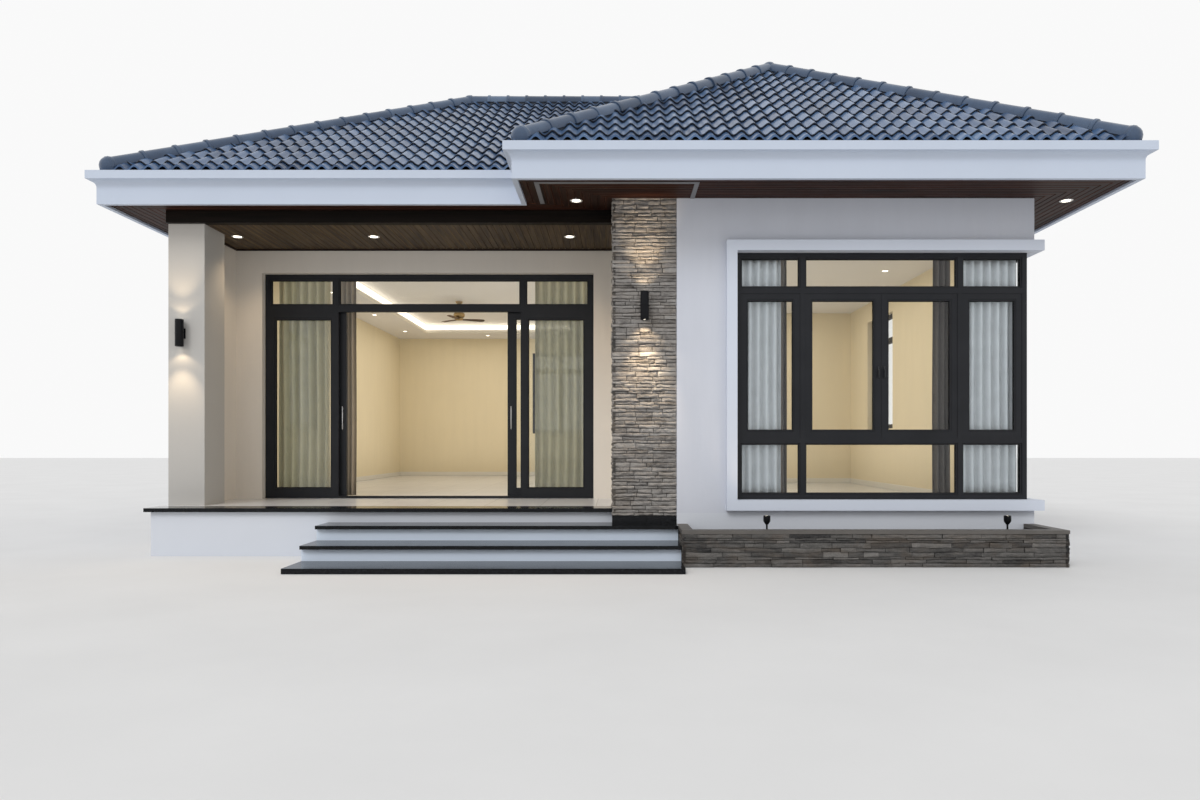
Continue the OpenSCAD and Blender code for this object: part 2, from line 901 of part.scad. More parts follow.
// Turn of the eave line at corner i: 1 where it turns out, -1 at an inner corner
function turn(i) = let (n = len(EAVE), p = EAVE[(i + n - 1) % n], q = EAVE[i],
        r = EAVE[(i + 1) % n])
    sign((q[0] - p[0]) * (r[1] - q[1]) - (q[1] - p[1]) * (r[0] - q[0]));

// Section of the fascia: band, cove and lip, with the outer face at x = 0
module fascia_section() {
    band_low = soffit_z - fascia_drop;
    difference() {
        union() {
            translate([0, band_low])
                square([fascia_t, lip_top_z - band_low]);
            translate([-lip_out, lip_top_z - lip_h - lip_out])
                square([lip_out + fascia_t, lip_h + lip_out]);
        }
        translate([-lip_out, lip_top_z - lip_h - lip_out])
            circle(r = lip_out);
    }
}

module fascia_run(i) {
    n = len(EAVE);
    a = EAVE[i];
    b = EAVE[(i + 1) % n];
    run = norm(b - a);
    s0 = turn(i);
    s1 = turn((i + 1) % n);
    translate([a[0], a[1], 0])
        rotate([0, 0, atan2(b[1] - a[1], b[0] - a[0])])
            intersection() {
                translate([-lip_out, 0, 0])
                    rotate([90, 0, 90])
                        linear_extrude(run + 2 * lip_out)
                            fascia_section();
                plate([[-s0 * lip_out, -lip_out], [run + s1 * lip_out, -lip_out],
                    [run - s1 * fascia_t, fascia_t], [s0 * fascia_t, fascia_t]],
                    0, 2 * lip_top_z);
            }
}

module fascia() {
    color("white")
        for (i = [0:len(EAVE) - 1])
            fascia_run(i);
}

function cot(pitch) = cos(pitch) / sin(pitch);

// Points up a slope from its eave to its peak: plain, or in courses of tiles that each
// run up from a nose and end under the next one; a pitch of 90 is an upright side
function up_slope(pitch, run, tiled) =
    pitch == 90 ? [[0, 0]] :
    let (step = course_l * cos(pitch), first = first_course * cos(pitch),
        noses = [0, if (tiled) for (r = [first:step:run - collar_l]) r],
        last = len(noses) - 1)
    [for (i = [0:last]) each [
        [noses[i], noses[i] * tan(pitch)],
        i < last ? [noses[i + 1], noses[i + 1] * tan(pitch) - course_h]
            : [run, run * tan(pitch)]]];

// Outline of a roof body: its base, its upright deck edges and one peak, where the
// two slopes meet
function roof_outline(low, high, low_pitch, high_pitch, drop, tiled) =
    let (peak = (high - low) / (cot(low_pitch) + cot(high_pitch)),
        left = up_slope(low_pitch, peak * cot(low_pitch), tiled),
        right = up_slope(high_pitch, peak * cot(high_pitch), tiled))
    [[low, -drop], [high, -drop],
        for (i = [0:1:len(right) - 2]) [high - right[i][0], deck_edge + right[i][1]],
        [low + peak * cot(low_pitch), deck_edge + peak],
        for (i = [len(left) - 2:-1:0]) [low + left[i][0], deck_edge + left[i][1]]];

// A roof body with slopes to the left and right
module across(low, high, low_pitch, high_pitch, drop, tiled) {
    translate([0, ey_back + cut, 0])
        rotate([90, 0, 0])
            linear_extrude(ey_back - ey_wing + 2 * cut)
                polygon(roof_outline(low, high, low_pitch, high_pitch, drop, tiled));
}

// A roof body with slopes to the front and back
module along(low, high, low_pitch, high_pitch, drop, tiled) {
    translate([ex_left - cut, 0, 0])
        rotate([90, 0, 90])
            linear_extrude(ex_right - ex_left + 2 * cut)
                polygon(roof_outline(low, high, low_pitch, high_pitch, drop, tiled));
}

// The whole roof's outer form, with its base drop lower, plain or in courses of tiles;
// each shared slope is one body
module roof_form(drop = 0, tiled = false) {
    translate([0, 0, lip_top_z])
        intersection() {
            across(ex_left, ex_right, main_pitch, wing_pitch, drop, tiled);
            union() {
                intersection() {
                    along(ey_wing, ey_main_back, 90, main_pitch, drop, tiled);
                    union() {
                        along(ey_main, ey_back, main_pitch, 90, drop, tiled);
                        intersection() {
                            across(ex_wing, ex_right + cut, wing_pitch, 90, drop, tiled);
                            along(ey_wing, ey_back, wing_pitch, 90, drop, tiled);
                        }
                    }
                }
                intersection() {
                    along(ey_main, ey_back, main_pitch, 90, drop, tiled);
                    across(ex_left - cut, ex_rear, 90, main_pitch, drop, tiled);
                    along(ey_wing, ey_back, 90, main_pitch, drop, tiled);
                }
            }
        }
}

eave_line_z = lip_top_z + deck_edge;
main_top = lip_top_z + main_rise;
wing_top = lip_top_z + wing_rise;
rear_top = lip_top_z + rear_rise;
// Radius of the rounded pieces where runs of caps meet or end, and how far those at the
// eaves stand clear of the corner
knob_rise = 2;
knob_r = cap_r + collar + knob_rise;
knob_gap = 9;
cap_start = knob_r + knob_gap;
// Width of the joints between the deck's slabs
seam_w = 4;

// Where the ridges and hips meet
apex = [x_apex, y_apex, wing_top];
wing_end = [x_apex, y_wing_end, wing_top];
ridge_left = [x_ridge, y_ridge, main_top];
ridge_right = [x_ridge_end, y_ridge, main_top];
rear_start = [x_rear_ridge, y_rear_start, rear_top];
ridge_rear = [x_rear_ridge, y_rear_end, rear_top];

HIPS = [[[ex_wing, ey_wing, eave_line_z], apex],
    [[ex_right, ey_wing, eave_line_z], apex],
    [[ex_left, ey_main, eave_line_z], ridge_left],
    [[ex_right, ey_main_back, eave_line_z], ridge_right],
    [[ex_left, ey_back, eave_line_z], ridge_rear],
    [[ex_rear, ey_back, eave_line_z], ridge_rear]];
RIDGES = [[ridge_left, ridge_right], [ridge_left, rear_start], [rear_start, ridge_rear],
    [apex, wing_end], [wing_end, ridge_right]];
VALLEYS = [[[ex_wing, ey_main, eave_line_z], wing_end],
    [[ex_rear, ey_main_back, eave_line_z], rear_start]];

// A narrow upright cut along a line between two slopes
module seam(a, b) {
    run = norm([b[0] - a[0], b[1] - a[1]]);
    translate([a[0], a[1], lip_top_z - cut])
        rotate([0, 0, atan2(b[1] - a[1], b[0] - a[0])])
            translate([-seam_w, -seam_w / 2, 0])
                cube([run + 2 * seam_w, seam_w, main_rise + wing_rise]);
}

// The tiled deck, one slab a slope
module roof_shell() {
    color("slategray")
        difference() {
            roof_form(0, true);
            translate([0, 0, -roof_t])
                roof_form();
            for (s = concat(HIPS, RIDGES, VALLEYS))
                seam(s[0], s[1]);
        }
}

// Half-section of a run of caps of about this length, each but the first with a collar
// at its low end
function cap_section(run, cap_l, grow) =
    let (count = max(1, round(run / cap_l)), step = run / count, r = cap_r + grow)
    [[0, 0], [r, 0], for (i = [1:1:count - 1]) each [
        [r, i * step], [r + collar, i * step],
        [r + collar, i * step + collar_l], [r, i * step + collar_l]], [r, run], [0, run]];

// A half-round run of caps from a to b, starting a little way in from a
module cap_run(a, b, cap_l, start = 0, grow = 0) {
    d = b - a;
    u = d / norm(d);
    translate(a + start * u + [0, 0, cap_lift])
        rotate([0, acos(u[2]), atan2(d[1], d[0])])
            rotate_extrude()
                polygon(cap_section(norm(d) - start, cap_l, grow));
}

// A hip's run of caps, with a rounded piece over the eave corner
module hip_run(corner, top) {
    u = (top - corner) / norm(top - corner);
    cap_run(corner, top, hip_cap_l, cap_start);
    translate(corner + cap_start * u + [0, 0, cap_lift])
        sphere(r = knob_r);
}

// Every ridge's run of caps, with a rounded piece where ridges and hips meet
module ridge_runs(grow = 0) {
    for (r = RIDGES)
        cap_run(r[0], r[1], ridge_cap_l, 0, grow);
    for (p = [apex, wing_end, ridge_left, ridge_right, rear_start, ridge_rear])
        translate(p + [0, 0, cap_lift])
            sphere(r = knob_r + grow);
}

module ridge_caps() {
    color("slategray")
        difference() {
            ridge_runs();
            roof_form();
        }
}

module hip_caps() {
    color("slategray")
        difference() {
            union() {
                for (h = HIPS)
                    hip_run(h[0], h[1]);
            }
            roof_form(2 * cap_r);
            ridge_runs(run_gap);
        }
}

// Flat borders round the raised part of the ceiling
tray_left = 780;
tray_front = 950;
tray_right = 700;
tray_rear = 1020;
tray_lo = [x_left_in + tray_left, y_door_in + tray_front];
tray_hi = [x_rear - wall_t - tray_right, y_back - wall_t - tray_rear];
board_t = 20;

module room_ceiling() {
    color("ivory")
        difference() {
            union() {
                plate(ROOMS, ceiling_z, ceiling_z + board_t);
                block([tray_lo[0] - board_t, tray_lo[1] - board_t, ceiling_z],
                    [tray_hi[0] + board_t, tray_hi[1] + board_t, wall_top]);
            }
            block([tray_lo[0], tray_lo[1], ceiling_z - cut],
                [tray_hi[0], tray_hi[1], tray_z]);
        }
}

module fan_mount() {
    color("goldenrod")
        translate([fan_x, fan_y, 0])
            union() {
                translate([0, 0, motor_z])
                    cylinder(h = fan_motor_h, r = fan_motor_r);
                translate([0, 0, motor_z + fan_motor_h])
                    cylinder(h = tray_z - motor_z - fan_motor_h, r = fan_rod_r);
                translate([0, 0, tray_z - canopy_h])
                    cylinder(h = canopy_h, r1 = canopy_low_r, r2 = canopy_r);
            }
}

// One blade along X: narrow at the hub, wide past the middle, its tip on the rotor's circle
module blade() {
    root_x = hub_r - blade_root;
    rotate([blade_pitch, 0, 0])
        translate([0, 0, -blade_t / 2])
            linear_extrude(blade_t)
                intersection() {
                    circle(r = fan_r);
                    polygon([[root_x, -blade_root_w / 2], [blade_wide, -blade_w / 2],
                        [fan_r, -blade_w / 2], [fan_r, blade_w / 2],
                        [blade_wide, blade_w / 2], [root_x, blade_root_w / 2]]);
                }
}

module fan_rotor() {
    color("saddlebrown")
        translate([fan_x, fan_y, fan_z])
            union() {
                translate([0, 0, -hub_h / 2])
                    cylinder(h = hub_h, r = hub_r);
                cylinder(h = motor_z - fan_z - run_gap, r = fan_rod_r);
                for (i = [0:blade_count - 1])
                    rotate([0, 0, first_blade + i * 360 / blade_count])
                        blade();
            }
}

lamp_r = 65;
lamp_h = 15;
// Distance of the porch lights in front of the door wall, from the porch's ends, and of
// the middle one from the left end
porch_light_out = 600;
porch_light_in = 490;
porch_light_mid = 2055;
porch_lights = [for (x = [x_left + porch_light_in, x_left + porch_light_mid,
    x_wing - porch_light_in]) [x, y_door - porch_light_out]];
// Distance of the soffit lights outside the wall lines
soffit_light_out = 370;
soffit_light_in = 80;
soffit_lights = [for (x = [x_wing - soffit_light_out, x_right + soffit_light_out])
    [x, y_wing + soffit_light_in]];

// Flat lights under the ceilings: a row along the left wall, a row along the rear wall
// and a pair in the front room
room_lamp_r = 50;
room_lamp_h = 6;
side_light_in = 417;
side_light_pitch = 2090;
rear_light_in = 560;
rear_light_start = 1977;
rear_light_pitch = 1560;
front_light_side = 550;
front_light_in = 2150;
room_lights = [
    for (i = [1:3]) [x_left_in + side_light_in, y_door_in + i * side_light_pitch],
    for (i = [0:1]) [x_left_in + rear_light_start + i * rear_light_pitch,
        y_back - wall_t - rear_light_in],
    for (x = [x_wing_in + front_light_side, x_right_in - front_light_side])
        [x, y_wing_in + front_light_in]];

module downlight_holes(places, z) {
    for (p = places)
        translate([p[0], p[1], z - cut])
            cylinder(h = lamp_h + cut, r = lamp_r);
}

module downlights() {
    color("ivory") {
        for (p = porch_lights)
            translate([p[0], p[1], porch_ceiling_z])
                cylinder(h = lamp_h, r = lamp_r);
        for (p = soffit_lights)
            translate([p[0], p[1], soffit_z])
                cylinder(h = lamp_h, r = lamp_r);
        for (p = room_lights)
            translate([p[0], p[1], ceiling_z - room_lamp_h])
                cylinder(h = room_lamp_h, r = room_lamp_r);
    }
}

wall_lamp_r = 43;
wall_lamp_h = 290;
wall_lamp_gap = 25;
bracket_w = 40;
bracket_h = 60;
pillar_lamp_z = 2420;
column_lamp_z = 2210;
column_lamp_in = 110;

module wall_lamp(x, y, z) {
    translate([x, y - wall_lamp_r - wall_lamp_gap, z]) {
        cylinder(h = wall_lamp_h, r = wall_lamp_r);
        translate([-bracket_w / 2, 0, (wall_lamp_h - bracket_h) / 2])
            cube([bracket_w, wall_lamp_r + wall_lamp_gap, bracket_h]);
    }
}

module wall_lights() {
    color("dimgray") {
        wall_lamp(x_wing + pillar_w / 2, y_wing, pillar_lamp_z);
        wall_lamp(x_left + wall_lamp_r + column_lamp_in, y_column, column_lamp_z);
    }
}

// Spot lights on stakes that stand in the planter's bed
spot_r = 34;
spot_h = 75;
spot_top_z = 470;
stake_r = 9;
spot_out = 430;
spot_left_in = 840;
spot_right_in = 480;

module planter_lights() {
    color("dimgray")
        for (x = [x_pillar + spot_left_in, x_right - spot_right_in])
            translate([x, y_wing - spot_out, planter_bed_z])
                union() {
                    cylinder(h = spot_top_z - spot_h - planter_bed_z, r = stake_r);
                    translate([0, 0, spot_top_z - spot_h - planter_bed_z])
                        cylinder(h = spot_h, r = spot_r);
                }
}

// Thickness of the gathered curtains, hung in the rooms and in the window's reveal
curtain_t = 90;
sheer_t = 60;
curtain_low = floor_z + 15;
curtain_gap = 5;
// Setbacks of the hung curtains behind the wing's front wall and behind the door wall
window_curtain_in = 60;
door_curtain_in = 200;
// Sheers in the corner window, from the ends of its opening
left_sheer_w = 480;
right_sheer_w = 600;
side_sheer_w = 860;
// Drapes beside them
left_drape_w = 90;
right_drape_w = 170;
right_drape_end = 700;
// Curtains behind the door's fixed panels, from the ends of its opening
door_curtain_end = 50;
left_door_sheer_w = 640;
right_door_sheer_w = 700;
door_drape_w = 225;
door_drape_end = 800;
sheer_y = cy_front + frame_d + curtain_gap;
sheer_x = cx_front - frame_d - curtain_gap;

module hung(x0, x1, y) {
    block([x0, y, curtain_low], [x1, y + curtain_t, ceiling_z]);
}

module sheer(lo, hi) {
    block([lo[0], lo[1], sill_z + curtain_gap], [hi[0], hi[1], head_z]);
}

module window_curtains() {
    color("white") {
        sheer([cx_left + curtain_gap, sheer_y],
            [cx_left + curtain_gap + left_sheer_w, sheer_y + sheer_t]);
        sheer([sheer_x - right_sheer_w, sheer_y], [sheer_x, sheer_y + sheer_t]);
        sheer([sheer_x - sheer_t, sheer_y + sheer_t + curtain_gap],
            [sheer_x, sheer_y + sheer_t + curtain_gap + side_sheer_w]);
        hung(cx_left + curtain_gap + left_sheer_w,
            cx_left + curtain_gap + left_sheer_w + left_drape_w, y_wing_in + window_curtain_in);
        hung(cx_front - right_drape_end - right_drape_w, cx_front - right_drape_end,
            y_wing_in + window_curtain_in);
    }
}

module door_curtains() {
    color("white") {
        hung(xd_left + door_curtain_end, xd_left + door_curtain_end + left_door_sheer_w,
            y_door_in + door_curtain_in);
        hung(xd_left + door_drape_end, xd_left + door_drape_end + door_drape_w,
            y_door_in + door_curtain_in);
        hung(xd_right - door_curtain_end - right_door_sheer_w, xd_right - door_curtain_end,
            y_door_in + door_curtain_in);
    }
}

foundation();
step_core();
bottom_step();
lower_tread();
upper_tread();
porch_edge();
porch_floor();
room_floor();
planter();
planter_coping();
left_wall();
rear_wall();
rear_side_wall();
back_wall();
right_wall();
wing_front_wall();
wing_side_wall();
porch_wall_left();
porch_wall_right();
porch_wall_over();
left_column();
stone_pillar();
pillar_plinth();
window_surround();
corner_window_frame();
corner_window_sashes();
corner_window_glass();
window_handles();
side_window_frames();
side_window_glass();
door_frame();
door_side_panels();
door_glass();
door_track();
door_leaf_left();
door_leaf_right();
leaf_glass_left();
leaf_glass_right();
handle_left();
handle_right();
porch_beam();
porch_ceiling();
eave_soffit();
soffit_trim();
eave_slab();
fascia();
roof_shell();
ridge_caps();
hip_caps();
room_ceiling();
fan_mount();
fan_rotor();
downlights();
wall_lights();
planter_lights();
window_curtains();
door_curtains();
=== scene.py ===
"""Finishes and fine pieces of a single-storey house with a hipped tile roof.

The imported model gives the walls, frames, steps and levels. This script dresses them and
adds what is too fine for them: roof tiles and caps, soffit boards, split stone, curtains,
glazing beads, lamps and the ceiling fan. Sizes are metres, in the model's own frame.
"""

import logging
import math
import random
from dataclasses import dataclass, replace
from enum import Enum
from typing import Iterable, Sequence

import bmesh
import bpy
from mathutils import Matrix, Vector, noise


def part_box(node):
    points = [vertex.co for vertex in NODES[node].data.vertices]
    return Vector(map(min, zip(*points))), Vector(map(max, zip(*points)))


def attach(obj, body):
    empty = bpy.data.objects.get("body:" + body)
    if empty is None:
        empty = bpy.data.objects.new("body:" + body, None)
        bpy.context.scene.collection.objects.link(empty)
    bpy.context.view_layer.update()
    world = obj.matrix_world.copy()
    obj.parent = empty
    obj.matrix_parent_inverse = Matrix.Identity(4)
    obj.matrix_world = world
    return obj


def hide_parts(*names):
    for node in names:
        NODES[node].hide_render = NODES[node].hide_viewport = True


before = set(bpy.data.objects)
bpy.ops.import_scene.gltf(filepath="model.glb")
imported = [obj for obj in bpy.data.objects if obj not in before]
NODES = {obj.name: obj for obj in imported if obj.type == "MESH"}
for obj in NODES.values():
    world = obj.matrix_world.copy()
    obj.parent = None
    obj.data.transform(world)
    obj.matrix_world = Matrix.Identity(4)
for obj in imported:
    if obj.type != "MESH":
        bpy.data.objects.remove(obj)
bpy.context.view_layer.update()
log = logging.getLogger("house")

Point = Sequence[float]
Colour = tuple[float, float, float]
Material = bpy.types.Material
Socket = bpy.types.NodeSocket
Face = bmesh.types.BMFace
Vert = bmesh.types.BMVert
UP = Vector((0.0, 0.0, 1.0))


class Axis(Enum):
    """An axis of the model's frame."""

    X = 0
    Y = 1
    Z = 2


class Graph:
    """The node tree of one material or of the world, built one node a call."""

    def __init__(self, block: Material | bpy.types.World) -> None:
        """Start an empty tree.

        Args:
            block: The material or world that holds it.
        """
        self.block = block
        block.use_nodes = True
        self.tree = block.node_tree
        self.tree.nodes.clear()

    def feed(self, socket: Socket, value: object) -> None:
        """Link a socket to another one, or set its value.

        Args:
            socket: The input socket.
            value: An output socket, a number, a colour or a vector.
        """
        if isinstance(value, Socket):
            self.tree.links.new(value, socket)
        elif socket.type == "RGBA" and len(value) == 3:
            socket.default_value = (*value, 1.0)
        else:
            socket.default_value = value

    def add(self, kind: str, inputs: dict[str | int, object] | None = None,
            **settings: object) -> bpy.types.Node:
        """Add a node.

        Args:
            kind: The node's type name.
            inputs: Values or sockets for its inputs.
            **settings: Values for its properties.

        Returns:
            The new node.
        """
        node = self.tree.nodes.new(kind)
        for key, value in settings.items():
            setattr(node, key, value)
        for key, value in (inputs or {}).items():
            self.feed(node.inputs[key], value)
        return node

    def coords(self, scale: Point = (1.0, 1.0, 1.0)) -> Socket:
        """Give Object coordinates.

        Args:
            scale: Scale along each axis.

        Returns:
            The vector socket.
        """
        place = self.add("ShaderNodeTexCoord").outputs["Object"]
        if tuple(scale) == (1.0, 1.0, 1.0):
            return place
        return self.add("ShaderNodeMapping", {"Vector": place, "Scale": scale}).outputs["Vector"]

    def noise(self, vector: Socket, scale: float, detail: float = 4.0,
              roughness: float = 0.55, distortion: float = 0.0) -> Socket:
        """Give a noise value.

        Args:
            vector: Coordinates.
            scale: Features a metre.
            detail: Number of octaves.
            roughness: Strength of the fine octaves.
            distortion: Warp of the coordinates.

        Returns:
            The value socket.
        """
        return self.add("ShaderNodeTexNoise", {
            "Vector": vector, "Scale": scale, "Detail": detail, "Roughness": roughness,
            "Distortion": distortion}).outputs["Fac"]

    def ramp(self, value: Socket,
             *stops: tuple[float, Colour]) -> Socket:
        """Turn a value into a colour.

        Args:
            value: The value socket.
            *stops: Positions and their colours.

        Returns:
            The colour socket.
        """
        node = self.add("ShaderNodeValToRGB", {"Fac": value})
        elements = node.color_ramp.elements
        while len(elements) < len(stops):
            elements.new(0.5)
        for element, (place, colour) in zip(elements, stops):
            element.position = place
            element.color = (*colour, 1.0)
        return node.outputs["Color"]

    def mix(self, share: object, low: object, high: object, blend: str = "MIX") -> Socket:
        """Mix two colours.

        Args:
            share: Share of the second colour.
            low: First colour.
            high: Second colour.
            blend: Blend mode.

        Returns:
            The colour socket.
        """
        return self.add("ShaderNodeMix", {0: share, 6: low, 7: high}, data_type="RGBA",
                        blend_type=blend).outputs[2]

    def dim(self, colour: Socket, level: Socket) -> Socket:
        """Multiply a colour by a grey level."""
        grey = self.add("ShaderNodeCombineColor", {i: level for i in range(3)}).outputs[0]
        return self.mix(1.0, colour, grey, "MULTIPLY")

    def maths(self, operation: str, first: object, second: object = 0.0,
              third: object = 0.0) -> Socket:
        """Combine values.

        Args:
            operation: Name of the operation.
            first: First value.
            second: Second value.
            third: Third value.

        Returns:
            The value socket.
        """
        node = self.add("ShaderNodeMath", {0: first, 1: second, 2: third}, operation=operation)
        return node.outputs[0]

    def weigh(self, *parts: tuple[Socket, float]) -> Socket:
        """Add up values by their weights.

        Args:
            *parts: Each value with its weight.

        Returns:
            The value socket.
        """
        total = 0.0
        for value, weight in parts:
            total = self.maths("MULTIPLY_ADD", value, weight, total)
        return total

    def between(self, value: Socket, low: float, high: float) -> Socket:
        """Give 1 where a value lies between two limits, and 0 elsewhere."""
        over = self.maths("GREATER_THAN", value, low)
        return self.maths("MULTIPLY", over, self.maths("LESS_THAN", value, high))

    def attribute(self, name: str) -> Socket:
        """Give a value that the piece's mesh holds, such as the tone of its faces."""
        return self.add("ShaderNodeAttribute", attribute_name=name).outputs["Fac"]

    def bump(self, height: Socket, distance: float, strength: float = 1.0,
             under: Socket | None = None) -> Socket:
        """Turn a height into a normal.

        Args:
            height: Height, from 0 to 1.
            distance: Height of a full step, in metres.
            strength: Strength of the bump.
            under: Normal of a coarser bump under this one.

        Returns:
            The normal socket.
        """
        inputs = {"Height": height, "Distance": distance, "Strength": strength}
        if under is not None:
            inputs["Normal"] = under
        return self.add("ShaderNodeBump", inputs).outputs["Normal"]

    def shade(self, **sockets: object) -> Material:
        """Finish the material with one principled shader.

        Args:
            **sockets: The shader's inputs, with underscores for spaces.

        Returns:
            The material.
        """
        inputs = {key.replace("_", " "): value for key, value in sockets.items()}
        shader = self.add("ShaderNodeBsdfPrincipled", inputs)
        self.add("ShaderNodeOutputMaterial", {"Surface": shader.outputs["BSDF"]})
        return self.block


def scaled(colour: Colour, share: float) -> Colour:
    """Give a colour with each of its channels times a share."""
    return tuple(c * share for c in colour)


@dataclass(frozen=True)
class Finish:
    """A surface finish, made as a material the first time that it is used."""

    name: str

    def material(self) -> Material:
        """Give the finish's material, whose name differs from the record's slots."""
        name = f"{self.name}_finish"
        return bpy.data.materials.get(name) or self.make(Graph(bpy.data.materials.new(name)))

    def make(self, graph: Graph) -> Material:
        """Build the material.

        Args:
            graph: An empty node tree.

        Returns:
            The material.
        """
        raise NotImplementedError


@dataclass(frozen=True)
class Paint(Finish):
    """Smooth masonry or metal paint with faint roller marks."""

    colour: Colour
    roughness: float = 0.55
    grain: float = 0.0005
    mottle: float = 0.04

    def make(self, graph: Graph) -> Material:
        """Build the material.

        Args:
            graph: An empty node tree.

        Returns:
            The material.
        """
        place = graph.coords()
        cloud = graph.noise(place, 0.9, 5.0)
        dark = scaled(self.colour, 1.0 - self.mottle)
        colour = graph.ramp(cloud, (0.3, dark), (0.7, self.colour))
        fine = graph.noise(place, 260.0, 3.0, 0.6)
        return graph.shade(
            Base_Color=colour, Roughness=self.roughness,
            Normal=graph.bump(fine, self.grain, 0.5))


@dataclass(frozen=True)
class WallPaint(Finish):
    """Render that is white outside, cream on the porch and warm in the rooms. The outside's
    blue-grey is painted cool sky light on white walls, and the porch's cream is painted warm
    lamplight on them.
    """

    outside: Colour
    porch: Colour
    room: Colour
    porch_box: tuple[Point, Point]
    room_boxes: tuple[tuple[Point, Point], ...]

    def within(self, graph: Graph, axes: bpy.types.Node, box: tuple[Point, Point]) -> Socket:
        """Give 1 inside a plan rectangle, and 0 elsewhere, from the coordinates' axes."""
        across, along = (graph.between(axes.outputs[i], box[0][i], box[1][i]) for i in (0, 1))
        return graph.maths("MULTIPLY", across, along)

    def make(self, graph: Graph) -> Material:
        """Build the material.

        Args:
            graph: An empty node tree.

        Returns:
            The material.
        """
        place = graph.coords()
        axes = graph.add("ShaderNodeSeparateXYZ", {0: place})
        indoors = self.within(graph, axes, self.room_boxes[0])
        for box in self.room_boxes[1:]:
            indoors = graph.maths("MAXIMUM", indoors, self.within(graph, axes, box))
        porch_lamplight_mask = self.within(graph, axes, self.porch_box)
        # Painted light: the porch colour stands for warm lamplight and the outside colour for cool
        # sky light, both on white walls.
        colour = graph.mix(porch_lamplight_mask, self.outside, self.porch)
        colour = graph.mix(indoors, colour, self.room)
        cloud = graph.noise(place, 0.7, 6.0, 0.6)
        streak = graph.noise(graph.coords((3.0, 3.0, 0.35)), 2.2, 5.0, 0.6)
        wear = graph.maths("MULTIPLY_ADD", graph.maths("ADD", cloud, streak), 0.09, 0.91)
        colour = graph.dim(colour, wear)
        trowel = graph.noise(place, 14.0, 3.0, 0.5)
        fine = graph.noise(place, 210.0, 4.0, 0.65)
        soft = graph.bump(trowel, 0.003, 0.35)
        return graph.shade(
            Base_Color=colour, Roughness=0.72,
            Normal=graph.bump(fine, 0.0008, 0.6, soft))


@dataclass(frozen=True)
class Granite(Finish):
    """Dark polished granite with fine flecks."""

    dark: Colour = (0.003, 0.0035, 0.0045)
    fleck: Colour = (0.026, 0.028, 0.033)
    roughness: float = 0.13

    def make(self, graph: Graph) -> Material:
        """Build the material.

        Args:
            graph: An empty node tree.

        Returns:
            The material.
        """
        place = graph.coords()
        grains = graph.add("ShaderNodeTexVoronoi", {"Vector": place, "Scale": 190.0})
        speck = graph.noise(place, 420.0, 3.0, 0.7)
        share = graph.maths("MULTIPLY", speck, grains.outputs["Color"])
        colour = graph.ramp(share, (0.24, self.dark), (0.5, self.fleck))
        cloud = graph.noise(place, 3.0, 4.0)
        worn = graph.maths("MULTIPLY_ADD", cloud, 0.14, self.roughness - 0.07)
        return graph.shade(
            Base_Color=colour, Roughness=worn, Specular_IOR_Level=0.16,
            Normal=graph.bump(speck, 0.0003, 0.3))


@dataclass(frozen=True)
class FloorTile(Finish):
    """Large glazed floor tiles with fine joints."""

    warm: Colour = (0.64, 0.645, 0.655)
    cool: Colour = (0.55, 0.565, 0.59)
    joint: Colour = (0.40, 0.39, 0.37)
    module: float = 0.6
    roughness: float = 0.28

    def make(self, graph: Graph) -> Material:
        """Build the material.

        Args:
            graph: An empty node tree.

        Returns:
            The material.
        """
        place = graph.coords()
        cloud = graph.noise(place, 2.6, 7.0, 0.62, 0.8)
        vein = graph.noise(graph.coords((1.0, 2.0, 1.0)), 5.0, 8.0, 0.7, 1.6)
        marble = graph.weigh((cloud, 0.5), (vein, 0.5))
        colour = graph.ramp(marble, (0.36, self.cool), (0.5, self.warm), (0.7, self.warm))
        tiles = graph.add("ShaderNodeTexBrick", {
            "Vector": place, "Color1": (1.0, 1.0, 1.0), "Color2": (0.93, 0.935, 0.94),
            "Mortar": self.joint, "Scale": 1.0, "Mortar Size": 0.003, "Mortar Smooth": 0.2,
            "Bias": -0.2, "Brick Width": self.module, "Row Height": self.module})
        tiles.offset = 0.0
        shown = graph.mix(1.0, colour, tiles.outputs["Color"], "MULTIPLY")
        return graph.shade(
            Base_Color=shown, Roughness=self.roughness, Coat_Weight=0.15,
            Coat_Roughness=0.16,
            Normal=graph.bump(graph.maths("SUBTRACT", 1.0, tiles.outputs["Fac"]), 0.0015, 0.6))


@dataclass(frozen=True)
class SplitStone(Finish):
    """Split-face stone, tinted stone by stone."""

    dark: Colour
    mid: Colour
    light: Colour
    rust: Colour
    rust_share: float = 0.3
    relief: float = 0.012
    strata: float = 7.0

    def make(self, graph: Graph) -> Material:
        """Build the material.

        Args:
            graph: An empty node tree.

        Returns:
            The material.
        """
        place = graph.coords()
        layers = graph.noise(graph.coords((1.0, 1.0, self.strata)), 7.0, 9.0, 0.68, 0.9)
        chips = graph.noise(place, 70.0, 6.0, 0.72)
        value = graph.weigh((chips, 0.3), (layers, 0.56), (graph.attribute("tone"), 0.3))
        colour = graph.ramp(value, (0.36, self.dark), (0.58, self.mid), (0.84, self.light))
        stain = graph.noise(graph.coords((1.0, 1.0, 2.5)), 2.6, 6.0, 0.65, 0.6)
        patch = graph.add("ShaderNodeMapRange", {
            0: stain, 1: 0.46, 2: 0.66, 3: 0.0, 4: self.rust_share}).outputs[0]
        colour = graph.mix(patch, colour, self.rust)
        coarse = graph.bump(layers, self.relief, 0.9)
        return graph.shade(
            Base_Color=colour, Roughness=0.88, Specular_IOR_Level=0.3,
            Normal=graph.bump(chips, self.relief * 0.3, 0.8, coarse))


